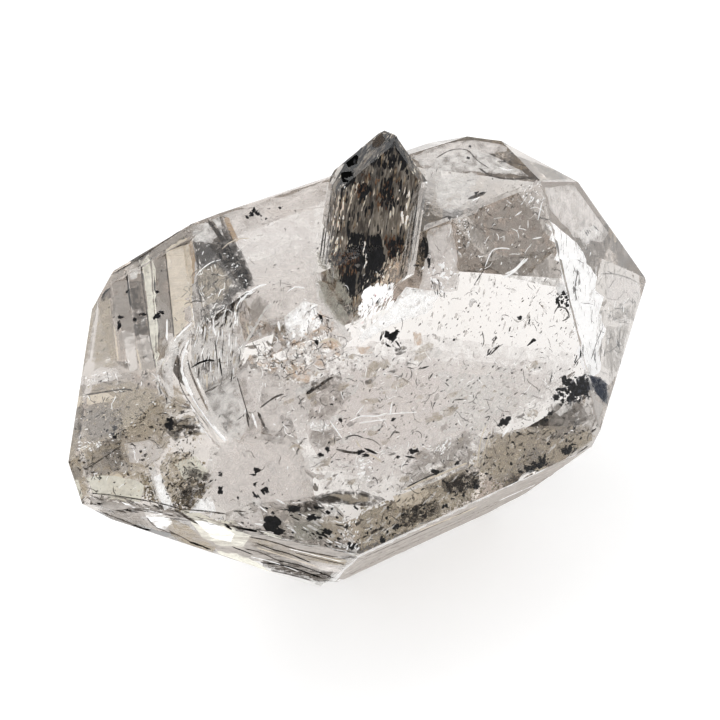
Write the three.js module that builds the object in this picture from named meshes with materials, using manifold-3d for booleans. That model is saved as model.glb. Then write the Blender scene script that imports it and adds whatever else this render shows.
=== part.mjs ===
// Cluster of two doubly terminated quartz crystals that grew together: a clear one lying on a side,
// and a smoky one standing in its upper front edge. Millimetres, +Z up. X runs along the clear
// crystal's long axis, its widest side faces the front, -Y, and the origin is under the middle.
import * as THREE from "three";
import { ConvexGeometry } from "three/addons/geometries/ConvexGeometry.js";
import { mergeVertices } from "three/addons/utils/BufferGeometryUtils.js";
import Module from "manifold-3d";

const wasm = await Module();
wasm.setup();

// A quartz crystal has six sides along its axis and six sloping faces at each end. A face is given
// by its turn around the axis, its lean from the axis and its distance from the crystal's middle.
const SIDE_LEAN = 90;
const END_LEAN = 51.8; // quartz's own angle between the axis and an end face's normal

// The clear crystal. Each list goes round as front, top, back upper, back lower, base, front lower.
// It grew unevenly, so the back upper faces and the left end lean off their ideal angles.
const CLEAR = {
  sides: { turns: [30, 90, 160.7, 210, 270, 330], distances: [9.9, 14.0, 8.8, 10.6, 14.56, 11.5] },
  rightEnd: {
    turns: [30, 90, 155.9, 210, 270, 330],
    leans: [END_LEAN, END_LEAN, 50.2, 48, END_LEAN, END_LEAN],
    distances: [14.7, 18.0, 12.6, 13.8, 16.5, 15.4],
  },
  leftEnd: {
    turns: [30, 90, 150, 210, 270, 330],
    leans: [71.5, 68, END_LEAN, 43, 43, 59],
    distances: [15.3, 16.5, 17.2, 10.7, 13.0, 13.6],
  },
  extra: [{ turn: 125, lean: 87, distance: 13.6 }], // narrow bevel along the top's back edge
};

// The smoky crystal, in the same order seen from its own wide front: front, left front, left back,
// back, right back, right front.
const SMOKY_TURNS = [0, 60, 120, 180, 240, 300];
const SMOKY_LEANS = SMOKY_TURNS.map(() => END_LEAN);
const SMOKY = {
  sides: { turns: SMOKY_TURNS, distances: [1.5, 2.6, 2.7, 1.7, 2.2, 2.95] },
  rightEnd: { turns: SMOKY_TURNS, leans: SMOKY_LEANS, distances: [4.8, 3.9, 4.4, 4.4, 4.2, 4.8] },
  leftEnd: { turns: SMOKY_TURNS, leans: SMOKY_LEANS, distances: [4.5, 3.9, 5.1, 5.5, 4.8, 3.4] },
  extra: [],
};
const SMOKY_MIDDLE = new THREE.Vector3(-0.2, -1.6, 13.4); // from the clear crystal's middle
const SMOKY_LEAN = 32; // from upright
const SMOKY_HEADING = 45; // the way it leans: to the back right
const SMOKY_SPIN = -35; // about its own axis

// Stepped growth on the upper left: narrow treads that start just below the end face's rim, run down
// the face and grow shallower. The profile is along the rim, [place, depth].
const TREAD_PROFILE = [
  [0.15, 0], [1.2, 0.3], [1.25, 0.02], [2.25, 0.28], [2.95, 0.01], [3.9, 0.33], [3.95, 0.02],
  [5.05, 0.25], [5.1, 0.5], [6.15, 0],
];
const TREAD_ORIGIN = new THREE.Vector3(-14.93, 5.02, 11.76); // on the rim
const TREAD_RIM = new THREE.Vector3(0.914, -0.161, 0.371);
const TREAD_DOWN = new THREE.Vector3(-0.365, -0.919, -0.147);
const TREAD_START = 0.6; // below the rim
const TREAD_LENGTH = 7.2;
const TREAD_RUN_OUT = 1.2; // degrees, by which the grooves grow shallower
const TREAD_CLEAR = 4; // how far the cutting profile rises over the face

// Shell-shaped fracture across the edge between the widest side and the upper left end. Its floor is
// flat and leans, so it runs out of the crystal on the right. On the left its ribs rise in steps:
// each has its level over the floor, how far it curves in before it meets its level, and its rim,
// drawn on the floor from the bottom up.
const SHELL_FLOOR = new THREE.Vector3(-11.51, -5.26, 10.06);
const SHELL_OPENS = new THREE.Vector3(-0.257, -0.753, 0.606);
const SHELL_RIBS = [
  {
    level: 0.15,
    round: 1.1,
    rim: [
      [-2.1, -1], [-3.2, -0.6], [-4.05, 0.15], [-4.5, 1.15], [-4.55, 2.25], [-4.15, 3.3],
      [-3.3, 4.25], [-1.9, 4.9], [0, 4.8], [1.2, 3.2], [0.9, 0.9], [-0.6, -0.7],
    ],
  },
  {
    level: 0,
    round: 0.8,
    rim: [
      [-1.2, -4.9], [-2.3, -3.9], [-2.85, -2.6], [-3.15, -1.1], [-3.3, 0.3], [-3.35, 1.6],
      [-3.2, 2.7], [-2.6, 3.9], [-1.2, 5.2], [1, 6], [4, 6.2], [5.5, 4], [4.5, 0], [1.6, -4.2],
    ],
  },
  {
    level: -0.15,
    round: 0.6,
    rim: [
      [-0.8, -4.5], [-1.8, -3.7], [-2.35, -2.5], [-2.6, -1.1], [-2.75, 0.3], [-2.8, 1.6],
      [-2.6, 2.7], [-2.0, 3.8], [-0.6, 4.9], [1.5, 5.4], [4, 5.5], [5, 3.5], [4, 0], [1.2, -4],
    ],
  },
];
const RIB_STEPS = 6;
const RIM_STEPS = 48;
const SHELL_CLEAR = 4; // how far the cutters rise over the crystal

// Small chips along the edges: [place, radius] of a faceted ball that only just bites into the edge.
const CHIPS = [
  [[-2.6, -12.4, -1.6], 1.1], [[4.9, -12.4, -1.6], 1.4], [[-20.4, -7.4, 5.7], 1.1],
  [[-6.0, 10.43, -3.14], 1.8], [[5.5, 10.43, -3.14], 1.5],
];
const CHIP_BITE = 0.8; // how far a chip's centre lies outside its edge, in radii
const CHIP_DETAIL = 1;

const PARALLEL = 1e-6; // faces with a smaller determinant meet in no corner
const ON_FACE = 1e-6;
const SAME_CORNER = 1e-4;

const GLASS_COLOUR = 0xd9d4cf;
const GLASS_ROUGHNESS = 0.04;
const GLASS_OPACITY = 0.5;

function radians(degrees) {
  return THREE.MathUtils.degToRad(degrees);
}

function faceNormal(turn, lean) {
  const side = Math.sin(radians(lean));
  return new THREE.Vector3(
    -side * Math.sin(radians(turn)),
    -side * Math.cos(radians(turn)),
    Math.cos(radians(lean)),
  );
}

function crystalPlanes(crystal) {
  const planes = [];
  const addFace = (turn, lean, distance) => {
    planes.push(new THREE.Plane(faceNormal(turn, lean), -distance));
  };
  const { sides, rightEnd, leftEnd, extra } = crystal;
  sides.turns.forEach((turn, i) => {
    addFace(turn, SIDE_LEAN, sides.distances[i]);
    addFace(rightEnd.turns[i], rightEnd.leans[i], rightEnd.distances[i]);
    addFace(leftEnd.turns[i], 180 - leftEnd.leans[i], leftEnd.distances[i]);
  });
  extra.forEach((face) => addFace(face.turn, face.lean, face.distance));
  return planes;
}

function planeMeeting(a, b, c) {
  const axes = new THREE.Matrix3().set(
    a.normal.x, a.normal.y, a.normal.z,
    b.normal.x, b.normal.y, b.normal.z,
    c.normal.x, c.normal.y, c.normal.z,
  );
  if (Math.abs(axes.determinant()) < PARALLEL) {
    return null;
  }
  return new THREE.Vector3(-a.constant, -b.constant, -c.constant).applyMatrix3(axes.invert());
}

// The corners of a crystal are where three of its faces meet and no other face cuts them off.
function crystalGeometry(crystal) {
  const planes = crystalPlanes(crystal);
  const corners = [];
  for (let i = 0; i < planes.length; i += 1) {
    for (let j = i + 1; j < planes.length; j += 1) {
      for (let k = j + 1; k < planes.length; k += 1) {
        const corner = planeMeeting(planes[i], planes[j], planes[k]);
        if (corner && planes.every((plane) => plane.distanceToPoint(corner) < ON_FACE)) {
          corners.push(corner);
        }
      }
    }
  }
  return new ConvexGeometry(corners);
}

function toSolid(geometry) {
  const bare = geometry.clone();
  bare.deleteAttribute("normal");
  bare.deleteAttribute("uv");
  const merged = mergeVertices(bare, SAME_CORNER);
  return new wasm.Manifold(new wasm.Mesh({
    numProp: 3,
    vertProperties: new Float32Array(merged.attributes.position.array),
    triVerts: new Uint32Array(merged.index.array),
  }));
}

function toGeometry(solid) {
  const mesh = solid.getMesh();
  const geometry = new THREE.BufferGeometry();
  geometry.setAttribute("position", new THREE.BufferAttribute(mesh.vertProperties, 3));
  geometry.setIndex(new THREE.BufferAttribute(mesh.triVerts, 1));
  return geometry;
}

// The clear crystal lies along X, so its own axis, local +Z, is turned to +X.
function lieDown(geometry) {
  return geometry.rotateY(Math.PI / 2);
}

function clearCrystal() {
  return toSolid(lieDown(crystalGeometry(CLEAR)));
}

function smokyCrystal() {
  const heading = radians(SMOKY_HEADING);
  const leanAxis = new THREE.Vector3(-Math.sin(heading), Math.cos(heading), 0);
  const geometry = crystalGeometry(SMOKY).rotateZ(radians(SMOKY_SPIN));
  geometry.applyQuaternion(new THREE.Quaternion().setFromAxisAngle(leanAxis, radians(SMOKY_LEAN)));
  geometry.translate(...SMOKY_MIDDLE.toArray());
  return toSolid(geometry);
}

function upperLeftNormal() {
  const lean = radians(180 - CLEAR.leftEnd.leans[1]);
  return new THREE.Vector3(Math.cos(lean), 0, Math.sin(lean));
}

// One comb-shaped cutter for all treads: its lower edge is the profile, and it reaches well over
// the face. It is turned a little about the rim, so the grooves run out.
function treadCutter() {
  const first = TREAD_PROFILE[0][0];
  const last = TREAD_PROFILE[TREAD_PROFILE.length - 1][0];
  const profile = TREAD_PROFILE.map(([place, depth]) => new THREE.Vector2(place, -depth));
  const outline = new THREE.Shape(profile);
  outline.lineTo(last, TREAD_CLEAR);
  outline.lineTo(first, TREAD_CLEAR);
  const comb = new THREE.ExtrudeGeometry(outline, { depth: TREAD_LENGTH, bevelEnabled: false });
  comb.rotateX(radians(-TREAD_RUN_OUT));
  comb.translate(0, 0, TREAD_START);
  const rim = TREAD_RIM.clone().normalize();
  const down = TREAD_DOWN.clone().normalize();
  comb.applyMatrix4(new THREE.Matrix4().makeBasis(rim, upperLeftNormal(), down));
  comb.translate(...TREAD_ORIGIN.toArray());
  return toSolid(comb);
}

function shellCutters() {
  const out = SHELL_OPENS.clone().normalize();
  const right = new THREE.Vector3(1, 0, 0).addScaledVector(out, -out.x).normalize();
  const up = new THREE.Vector3().crossVectors(out, right);
  return SHELL_RIBS.map(({ level, round, rim }) => {
    const curve = new THREE.CatmullRomCurve3(rim.map(([x, y]) => new THREE.Vector3(x, y, 0)), true);
    const outline = curve.getPoints(RIM_STEPS).slice(1).map(({ x, y }) => new THREE.Vector2(x, y));
    const rib = new THREE.ExtrudeGeometry(new THREE.Shape(outline), {
      depth: SHELL_CLEAR,
      bevelThickness: round,
      bevelSize: round,
      bevelOffset: -round,
      bevelSegments: RIB_STEPS,
    });
    rib.translate(0, 0, round + level);
    rib.applyMatrix4(new THREE.Matrix4().makeBasis(right, up, out));
    rib.translate(...SHELL_FLOOR.toArray());
    return toSolid(rib);
  });
}

function chipCutters() {
  return CHIPS.map(([place, radius]) => {
    const centre = new THREE.Vector3(...place);
    centre.add(centre.clone().normalize().multiplyScalar(radius * CHIP_BITE));
    const ball = new THREE.IcosahedronGeometry(radius, CHIP_DETAIL);
    ball.translate(...centre.toArray());
    return toSolid(ball);
  });
}

function clusterGeometry() {
  let solid = clearCrystal();
  for (const cutter of [treadCutter(), ...shellCutters(), ...chipCutters()]) {
    solid = solid.subtract(cutter);
  }
  return toGeometry(solid.add(smokyCrystal()));
}

function clusterMesh() {
  const geometry = clusterGeometry();
  geometry.computeBoundingBox();
  const middle = geometry.boundingBox.getCenter(new THREE.Vector3());
  const material = new THREE.MeshStandardMaterial({
    color: GLASS_COLOUR,
    roughness: GLASS_ROUGHNESS,
    metalness: 0,
    transparent: true,
    opacity: GLASS_OPACITY,
    flatShading: true,
  });
  const mesh = new THREE.Mesh(geometry, material);
  mesh.name = "crystal_cluster";
  mesh.position.set(-middle.x, -middle.y, -geometry.boundingBox.min.z);
  return mesh;
}

const group = new THREE.Group();
group.add(clusterMesh());

export default group;
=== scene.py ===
# The looks of a quartz cluster: a clear crystal full of black flecks, grains and fractures, and a
# smoky one grown into its upper front edge. Metres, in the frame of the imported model.
import bmesh
import bpy
import itertools
import math
import random
from mathutils import Matrix, Vector, noise
from mathutils.bvhtree import BVHTree
from mathutils.geometry import tessellate_polygon


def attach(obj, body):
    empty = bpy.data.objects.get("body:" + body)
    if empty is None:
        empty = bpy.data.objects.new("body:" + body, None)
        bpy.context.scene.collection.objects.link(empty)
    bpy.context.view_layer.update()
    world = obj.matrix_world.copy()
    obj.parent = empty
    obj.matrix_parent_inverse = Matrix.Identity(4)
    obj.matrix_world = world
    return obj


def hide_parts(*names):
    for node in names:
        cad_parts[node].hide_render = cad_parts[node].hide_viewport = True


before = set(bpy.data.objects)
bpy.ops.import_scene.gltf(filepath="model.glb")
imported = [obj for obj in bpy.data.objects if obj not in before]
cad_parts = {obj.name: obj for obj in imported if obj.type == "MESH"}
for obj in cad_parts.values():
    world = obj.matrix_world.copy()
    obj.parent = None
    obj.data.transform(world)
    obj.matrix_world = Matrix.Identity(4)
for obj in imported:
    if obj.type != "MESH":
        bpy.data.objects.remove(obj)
bpy.context.view_layer.update()

MM = 0.001
BODY = "root"
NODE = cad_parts["crystal_cluster"]
QUARTZ_IOR = 1.544

# The clear crystal's middle
CLEAR_MIDDLE = Vector((0.263, 0.965, 14.56)) * MM

# The camera looks at the crystal from the photograph's side, about three lengths away
VIEW_AZIMUTH = math.radians(-30.5)
VIEW_ELEVATION = math.radians(46.3)
VIEW_DISTANCE = 136.5 * MM
AIM_OVER_MIDDLE = 0.67 * MM
LENS = 102.4  # millimetres, as the sensor
SENSOR = 36
NEAREST_SEEN = 0.01
FARTHEST_SEEN = 10
MIDDLE_PIXEL = (361, 370)  # where the clear crystal's middle shows, of 720 x 720
PIXEL = MM / 15  # one pixel at the crystal's middle

BACK = Vector((
    math.sin(VIEW_AZIMUTH) * math.cos(VIEW_ELEVATION),
    -math.cos(VIEW_AZIMUTH) * math.cos(VIEW_ELEVATION),
    math.sin(VIEW_ELEVATION),
))
RIGHT = Vector((math.cos(VIEW_AZIMUTH), math.sin(VIEW_AZIMUTH), 0))
UP = BACK.cross(RIGHT)
EYE = CLEAR_MIDDLE + BACK * VIEW_DISTANCE

# The smoky crystal, as its solid is made: faces in the order front, left front, left back, back,
# right back, right front, by their distance from its middle in millimetres
SMOKY_SIDES = [1.5, 2.6, 2.7, 1.7, 2.2, 2.95]
SMOKY_TOP = [4.8, 3.9, 4.4, 4.4, 4.2, 4.8]
SMOKY_FOOT = [4.5, 3.9, 5.1, 5.5, 4.8, 3.4]
END_LEAN = 51.8
SMOKY_MIDDLE = CLEAR_MIDDLE + Vector((-0.2, -1.6, 13.4)) * MM
SMOKY_LEAN = math.radians(32)
SMOKY_HEADING = math.radians(45)
SMOKY_SPIN = math.radians(-35)
SMOKY_TURN = Matrix.Rotation(
    SMOKY_LEAN, 4, Vector((-math.sin(SMOKY_HEADING), math.cos(SMOKY_HEADING), 0))
) @ Matrix.Rotation(SMOKY_SPIN, 4, "Z")
SMOKY_PLACE = Matrix.Translation(SMOKY_MIDDLE) @ SMOKY_TURN
SMOKY_AXIS = (SMOKY_TURN @ Vector((0, 0, 1))).normalized()
# How far the smoky core lies under the crystal's own faces, in the same order
CORE_SIDES = [0.2, 0.5, 0.5, 0.25, 0.6, 0.5]
CORE_TOP = 0.16
CORE_FOOT = [1.1, 0.6, 0.5, 0.6, 0.8, 1.5]


# Seeing into the crystal

SURFACE = 0  # the depth of what is half sunk into the quartz's faces
STAIN_RISE = 0.012  # millimetres
RAY_START = 0.01  # millimetres past a face, where a ray begins that should miss this face
CLEARANCE = 0.7  # of its margin, that a point inside keeps from the nearest face


def tree_of(mesh):
    return BVHTree.FromPolygons(
        [v.co for v in mesh.vertices], [tuple(face.vertices) for face in mesh.polygons]
    )


SKIN = tree_of(NODE.data)


def refracted(way, normal):
    """The direction of a view after it has gone into the quartz through a face."""
    ratio = 1 / QUARTZ_IOR
    cosine = -way.dot(normal)
    rest = 1 - ratio * ratio * (1 - cosine * cosine)
    return (ratio * way + (ratio * cosine - math.sqrt(rest)) * normal).normalized()


def on_skin(x, y):
    """Where the view through a pixel meets the quartz, the normal there and the view's way, or None."""
    column, row = x - MIDDLE_PIXEL[0], MIDDLE_PIXEL[1] - y
    seen = CLEAR_MIDDLE + RIGHT * column * PIXEL + UP * row * PIXEL
    way = (seen - EYE).normalized()
    place, normal, _, _ = SKIN.ray_cast(EYE, way)
    return place and (place, normal, way)


def stained(x, y):
    """The place just above the quartz face seen at a pixel, for what is half sunk into it, or None."""
    seen = on_skin(x, y)
    return seen and seen[0] + seen[1] * STAIN_RISE * MM


def entry(x, y):
    """Where the view through a pixel meets the quartz, and its way on inside, or None."""
    seen = on_skin(x, y)
    return seen and (seen[0], refracted(seen[2], seen[1]))


def inside(x, y, depth, margin=0.2):
    """The point seen at a pixel, this many millimetres into the quartz along the view.

    Where the quartz is thinner, it is a margin of millimetres short of its far side, and where the
    nearest face is too close, there is none.
    """
    start = entry(x, y)
    if start is None:
        return None
    place, way = start
    _, _, _, reach = SKIN.ray_cast(place + way * MM * RAY_START, way)
    if reach is None:
        return None
    deep = min(depth, reach / MM - margin)
    point = place + way * deep * MM
    _, _, _, nearest = SKIN.find_nearest(point)
    if deep <= 0 or nearest < margin * MM * CLEARANCE:
        return None
    return point


def on_core(x, y):
    """Where the view through a pixel meets the smoky core, and the core's normal there, or None."""
    start = entry(x, y)
    if start is None:
        return None
    place, normal, _, _ = CORE.ray_cast(*start)
    return place and (place, normal)


def in_outline(x, y, outline):
    """Whether a pixel lies in an outline, so that a line out to its right crosses the rim an odd
    number of times.
    """
    odd = False
    for (x1, y1), (x2, y2) in zip(outline, outline[1:] + outline[:1]):
        if (y1 > y) != (y2 > y) and x < (x2 - x1) * (y - y1) / (y2 - y1) + x1:
            odd = not odd
    return odd


def pixels_in(rng, outline, count):
    """That many random pixels in an outline of the picture."""
    left, right = min(x for x, _ in outline), max(x for x, _ in outline)
    top, bottom = min(y for _, y in outline), max(y for _, y in outline)
    found = []
    while len(found) < count:
        x, y = rng.uniform(left, right), rng.uniform(top, bottom)
        if in_outline(x, y, outline):
            found.append((x, y))
    return found


# Random directions and sizes

def any_way(rng):
    """A direction that is as likely as any other."""
    while True:
        way = Vector((rng.uniform(-1, 1), rng.uniform(-1, 1), rng.uniform(-1, 1)))
        if 0.1 < way.length < 1:
            return way.normalized()


def near(rng, way, spread):
    """A direction close to another."""
    return (way + any_way(rng) * spread).normalized()


def mostly_small(rng, least, most, power=2):
    """A size between two limits, more often near the least the higher the power."""
    return least + (most - least) * rng.random() ** power


def slanted(turn):
    """The direction that shows in the picture at this angle above its right-hand side."""
    return RIGHT * math.cos(turn) + UP * math.sin(turn)


# Small closed shapes, gathered into joined meshes

class Parts:
    """The corners and faces of many small closed shapes, for one mesh."""

    def __init__(self):
        self.points = []
        self.faces = []

    def add(self, points, faces):
        first = len(self.points)
        self.points.extend(points)
        self.faces.extend([tuple(first + i for i in face) for face in faces])

    def piece(self, name, material):
        mesh = bpy.data.meshes.new(name)
        mesh.from_pydata(self.points, [], self.faces)
        finished(mesh, name, material)


def finished(mesh, name, material, smooth=False):
    """A mesh as a piece of the object, with its faces pointing out."""
    shape = bmesh.new()
    shape.from_mesh(mesh)
    bmesh.ops.recalc_face_normals(shape, faces=shape.faces)
    shape.to_mesh(mesh)
    shape.free()
    for face in mesh.polygons:
        face.use_smooth = smooth
    mesh.materials.clear()
    mesh.materials.append(material)
    piece = bpy.data.objects.new(name, mesh)
    bpy.context.scene.collection.objects.link(piece)
    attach(piece, BODY)


# A flake's rim: how many corners, and how far they may draw in
PLAIN_RIM = (7, 0.45)
RAGGED_RIM = (8, 0.5)
TORN_RIM = (8, 0.6)
CRACK_RIM = (9, 0.5)
RIM_STRAY = 0.3  # how far a corner strays around the rim, and out of the flake's plane


def flake(parts, rng, middle, normal, along, length, width, thick, rim=PLAIN_RIM):
    """A flat sliver with an uneven rim, thickest in its middle. Sizes in millimetres."""
    across = normal.cross(along).normalized()
    along = across.cross(normal).normalized()
    corners, ragged = rim
    points = []
    for i in range(corners):
        turn = math.tau * (i + rng.uniform(-RIM_STRAY, RIM_STRAY)) / corners
        reach = 0.5 * (1 - ragged * rng.random())
        points.append(
            middle + along * math.cos(turn) * reach * length * MM
            + across * math.sin(turn) * reach * width * MM
            + normal * rng.uniform(-RIM_STRAY, RIM_STRAY) * thick * MM
        )
    top, bottom = middle + normal * thick / 2 * MM, middle - normal * thick / 2 * MM
    pairs = [(i, (i + 1) % corners) for i in range(corners)]
    faces = [(a, b, corners) for a, b in pairs] + [(b, a, corners + 1) for a, b in pairs]
    parts.add(points + [top, bottom], faces)


NEEDLE_RINGS = (-0.22, 0.28)  # where a needle is thickest, by its length


def needle(parts, rng, middle, along, length, width):
    """A thin splinter with pointed ends. Sizes in millimetres."""
    side = along.cross(any_way(rng)).normalized()
    other = along.cross(side)
    rings = []
    for ring in NEEDLE_RINGS:
        at = middle + along * length * ring * MM
        for out in (side, other, -side, -other):
            rings.append(at + out * width / 2 * rng.uniform(0.6, 1) * MM)
    ends = [middle - along * length / 2 * MM, middle + along * length / 2 * MM]
    faces = []
    for i in range(4):
        j = (i + 1) % 4
        faces += [(j, i, 8), (i, j, 4 + j, 4 + i), (4 + i, 4 + j, 9)]
    parts.add(rings + ends, faces)


def grain(parts, rng, middle, size, stretch):
    """An uneven little lump with eight faces, longer one way by the stretch. Size in millimetres."""
    along = any_way(rng)
    side = along.cross(any_way(rng)).normalized()
    other = along.cross(side)
    tips = []
    for way, long in ((along, stretch), (side, 1), (other, 1)):
        for sign in (1, -1):
            tips.append(middle + way * sign * long * size / 2 * rng.uniform(0.55, 1) * MM)
    faces = [
        (0, 2, 4), (2, 1, 4), (1, 3, 4), (3, 0, 4),
        (2, 0, 5), (1, 2, 5), (3, 1, 5), (0, 3, 5),
    ]
    parts.add(tips, faces)


def roughened(rng, outline, step, jitter):
    """An outline of the picture with more corners, each a little off its place."""
    ring = []
    for (x1, y1), (x2, y2) in zip(outline, outline[1:] + outline[:1]):
        count = max(1, round(math.hypot(x2 - x1, y2 - y1) / step))
        for i in range(count):
            ring.append((
                x1 + (x2 - x1) * i / count + rng.uniform(-jitter, jitter),
                y1 + (y2 - y1) * i / count + rng.uniform(-jitter, jitter),
            ))
    return ring


FILM_THICK = 0.03  # millimetres
FINE_THICK = 0.02


def plate(parts, outline, place):
    """A thin closed plate that fills an outline of the picture. Its corners lie where place says."""
    kept = [(pixel, place(*pixel)) for pixel in outline]
    kept = [(pixel, corner) for pixel, corner in kept if corner]
    if len(kept) < 3:
        return
    corners = [corner for _, corner in kept]
    count = len(corners)
    faces = []
    for a, b, c in tessellate_polygon([[Vector((x, y, 0)) for (x, y), _ in kept]]):
        faces += [(a, b, c), (count + c, count + b, count + a)]
    for i in range(count):
        j = (i + 1) % count
        faces.append((j, i, count + i, count + j))
    parts.add(corners + [corner - BACK * FILM_THICK * MM for corner in corners], faces)


def curve_through(pixels, step):
    """Places along a smooth curve through pixels of the picture, about a step of pixels apart."""
    points = [Vector(pixel) for pixel in pixels]
    last = len(points) - 1
    curve = []
    for i in range(last):
        before, start, end = points[max(i - 1, 0)], points[i], points[i + 1]
        after = points[min(i + 2, last)]
        count = max(1, round((end - start).length / step))
        for k in range(count):
            t = k / count
            curve.append(0.5 * (
                2 * start + (end - before) * t + (2 * before - 5 * start + 4 * end - after) * t ** 2
                + (3 * start - before - 3 * end + after) * t ** 3
            ))
    return curve + [points[last]]


STROKE_END = 0.25  # of a stroke's width


def stroke(parts, rng, pixels, width, place, step):
    """A thin closed band along a line of the picture, narrow at both ends. Width and step in pixels."""
    spots = [place(*pixel) for pixel in curve_through(pixels, step)]
    spots = [spot for spot in spots if spot]
    last = len(spots) - 1
    if last < 1:
        return
    points = []
    for i, spot in enumerate(spots):
        along = (spots[min(i + 1, last)] - spots[max(i - 1, 0)]).normalized()
        side = along.cross(BACK).normalized()
        half = width / 2 * PIXEL * rng.uniform(0.6, 1) * (STROKE_END if i in (0, last) else 1)
        points += [
            spot + side * half, spot + BACK * half / 2, spot - side * half, spot - BACK * half / 2,
        ]
    faces = [(3, 2, 1, 0), tuple(4 * last + k for k in range(4))]
    for i in range(last):
        for k in range(4):
            j = (k + 1) % 4
            faces.append((4 * i + k, 4 * i + j, 4 * i + 4 + j, 4 * i + 4 + k))
    parts.add(points, faces)


# Materials

def set_stops(band, stops):
    """Gives a colour band its stops, each a place and a colour or a grey level."""
    while len(band.elements) < len(stops):
        band.elements.new(1)
    for element, (place, colour) in zip(band.elements, stops):
        shade = colour if isinstance(colour, tuple) else (colour, colour, colour)
        element.position = place
        element.color = (*shade, 1)


class Shader:
    """A Principled material and short ways to add nodes to it."""

    def __init__(self, name, **values):
        self.material = bpy.data.materials.new(name)
        self.material.use_nodes = True
        self.tree = self.material.node_tree
        self.surface = self.tree.nodes["Principled BSDF"]
        self.output = self.tree.nodes["Material Output"]
        for key, value in values.items():
            self.surface.inputs[key.replace("_", " ")].default_value = value

    def node(self, kind, **values):
        made = self.tree.nodes.new(kind)
        for key, value in values.items():
            made.inputs[key.replace("_", " ")].default_value = value
        return made

    def link(self, source, target):
        self.tree.links.new(source, target)

    def place(self, scale, middle=Vector(), turn=Matrix()):
        """Coordinates around a middle, along turned axes, in units of so many millimetres."""
        mapping = self.node("ShaderNodeMapping")
        mapping.vector_type = "TEXTURE"
        mapping.inputs["Location"].default_value = middle
        mapping.inputs["Rotation"].default_value = turn.to_euler()
        mapping.inputs["Scale"].default_value = [size * MM for size in scale]
        self.link(self.node("ShaderNodeTexCoord").outputs["Object"], mapping.inputs["Vector"])
        return mapping.outputs["Vector"]

    def cloud(self, vector, detail=4.0, roughness=0.6, distortion=0.0):
        made = self.node(
            "ShaderNodeTexNoise", Scale=1.0, Detail=detail, Roughness=roughness,
            Distortion=distortion,
        )
        self.link(vector, made.inputs["Vector"])
        return made.outputs["Fac"]

    def ramp(self, source, stops):
        made = self.node("ShaderNodeValToRGB")
        set_stops(made.color_ramp, stops)
        self.link(source, made.inputs["Fac"])
        return made.outputs["Color"]

    def mix(self, share, first, second):
        """Two colours or textures mixed, with the factor and the colours at their own sockets."""
        made = self.node("ShaderNodeMix")
        made.data_type = "RGBA"
        for index, value in ((0, share), (6, first), (7, second)):
            if isinstance(value, (int, float)):
                made.inputs[index].default_value = value
            elif isinstance(value, tuple):
                made.inputs[index].default_value = (*value, 1)
            else:
                self.link(value, made.inputs[index])
        return made.outputs[2]

    def bump(self, height, strength, distance):
        """Fine relief. The distance is in millimetres."""
        made = self.node("ShaderNodeBump", Strength=strength, Distance=distance * MM)
        self.link(height, made.inputs["Height"])
        self.link(made.outputs["Normal"], self.surface.inputs["Normal"])


def quartz_material():
    """Clear quartz: plain transmission and absorption, and faint growth lines on its faces."""
    glass = Shader(
        "clear_quartz", Transmission_Weight=1.0, Roughness=0.0, IOR=QUARTZ_IOR,
        Base_Color=(1, 1, 1, 1),
    )
    volume = glass.node("ShaderNodeVolumeAbsorption", Color=(0.80, 0.76, 0.72, 1), Density=42.0)
    glass.link(volume.outputs["Volume"], glass.output.inputs["Volume"])
    lines = glass.cloud(glass.place((0.5, 9, 9)), detail=2.0, roughness=0.4)
    pits = glass.cloud(glass.place((2.2, 2.2, 2.2)), detail=4.0, roughness=0.55, distortion=0.3)
    glass.bump(glass.mix(0.75, lines, pits), strength=0.12, distance=0.05)
    return glass.material


def carbon_material():
    """Black carbon flecks, dull to glossy."""
    black = Shader("carbon", Specular_IOR_Level=0.15)
    patch = black.cloud(black.place((0.5, 0.5, 0.5)))
    black.link(
        black.ramp(patch, [(0.35, (0.002, 0.002, 0.003)), (0.75, (0.016, 0.016, 0.02))]),
        black.surface.inputs["Base Color"],
    )
    black.link(black.ramp(patch, [(0.3, 0.25), (0.7, 0.6)]), black.surface.inputs["Roughness"])
    return black.material


def grain_material(name, colours, size, glow=0.0):
    """Mineral grains whose colour changes from one to the next, over this many millimetres."""
    # Where grains glow, the emission is a painted glow for light scattered in the quartz
    dull = Shader(name, Roughness=0.6, Emission_Strength=glow)
    spot = dull.cloud(dull.place((size, size, size)), detail=2.0, roughness=0.5)
    steps = [0.34 + 0.32 * i / (len(colours) - 1) for i in range(len(colours))]
    shade = dull.ramp(spot, list(zip(steps, colours)))
    dull.link(shade, dull.surface.inputs["Base Color"])
    dull.link(shade, dull.surface.inputs["Emission Color"])
    fine = dull.cloud(dull.place((0.08, 0.08, 0.08)))
    dull.bump(fine, strength=0.4, distance=0.03)
    return dull.material


FILM_TONES = (0.75, 1.05)  # how dark and how light a film's colour gets


def film_material(name, colour, least, most, size, glow):
    """A cloudy film: dense where its pattern is dense, and thin between."""
    # Its emission is a painted glow, standing in for light scattered in the quartz
    film = Shader(name, Roughness=0.8, Specular_IOR_Level=0.0, Emission_Strength=glow)
    patch = film.cloud(film.place((size, size, size)), detail=5.0, roughness=0.65, distortion=0.5)
    film.link(film.ramp(patch, [(0.38, least), (0.62, most)]), film.surface.inputs["Alpha"])
    tone = film.cloud(film.place((0.5, 0.5, 0.5)))
    dark, light = (tuple(min(1, share * part) for part in colour) for share in FILM_TONES)
    shade = film.mix(tone, dark, light)
    film.link(shade, film.surface.inputs["Base Color"])
    film.link(shade, film.surface.inputs["Emission Color"])
    return film.material


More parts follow.
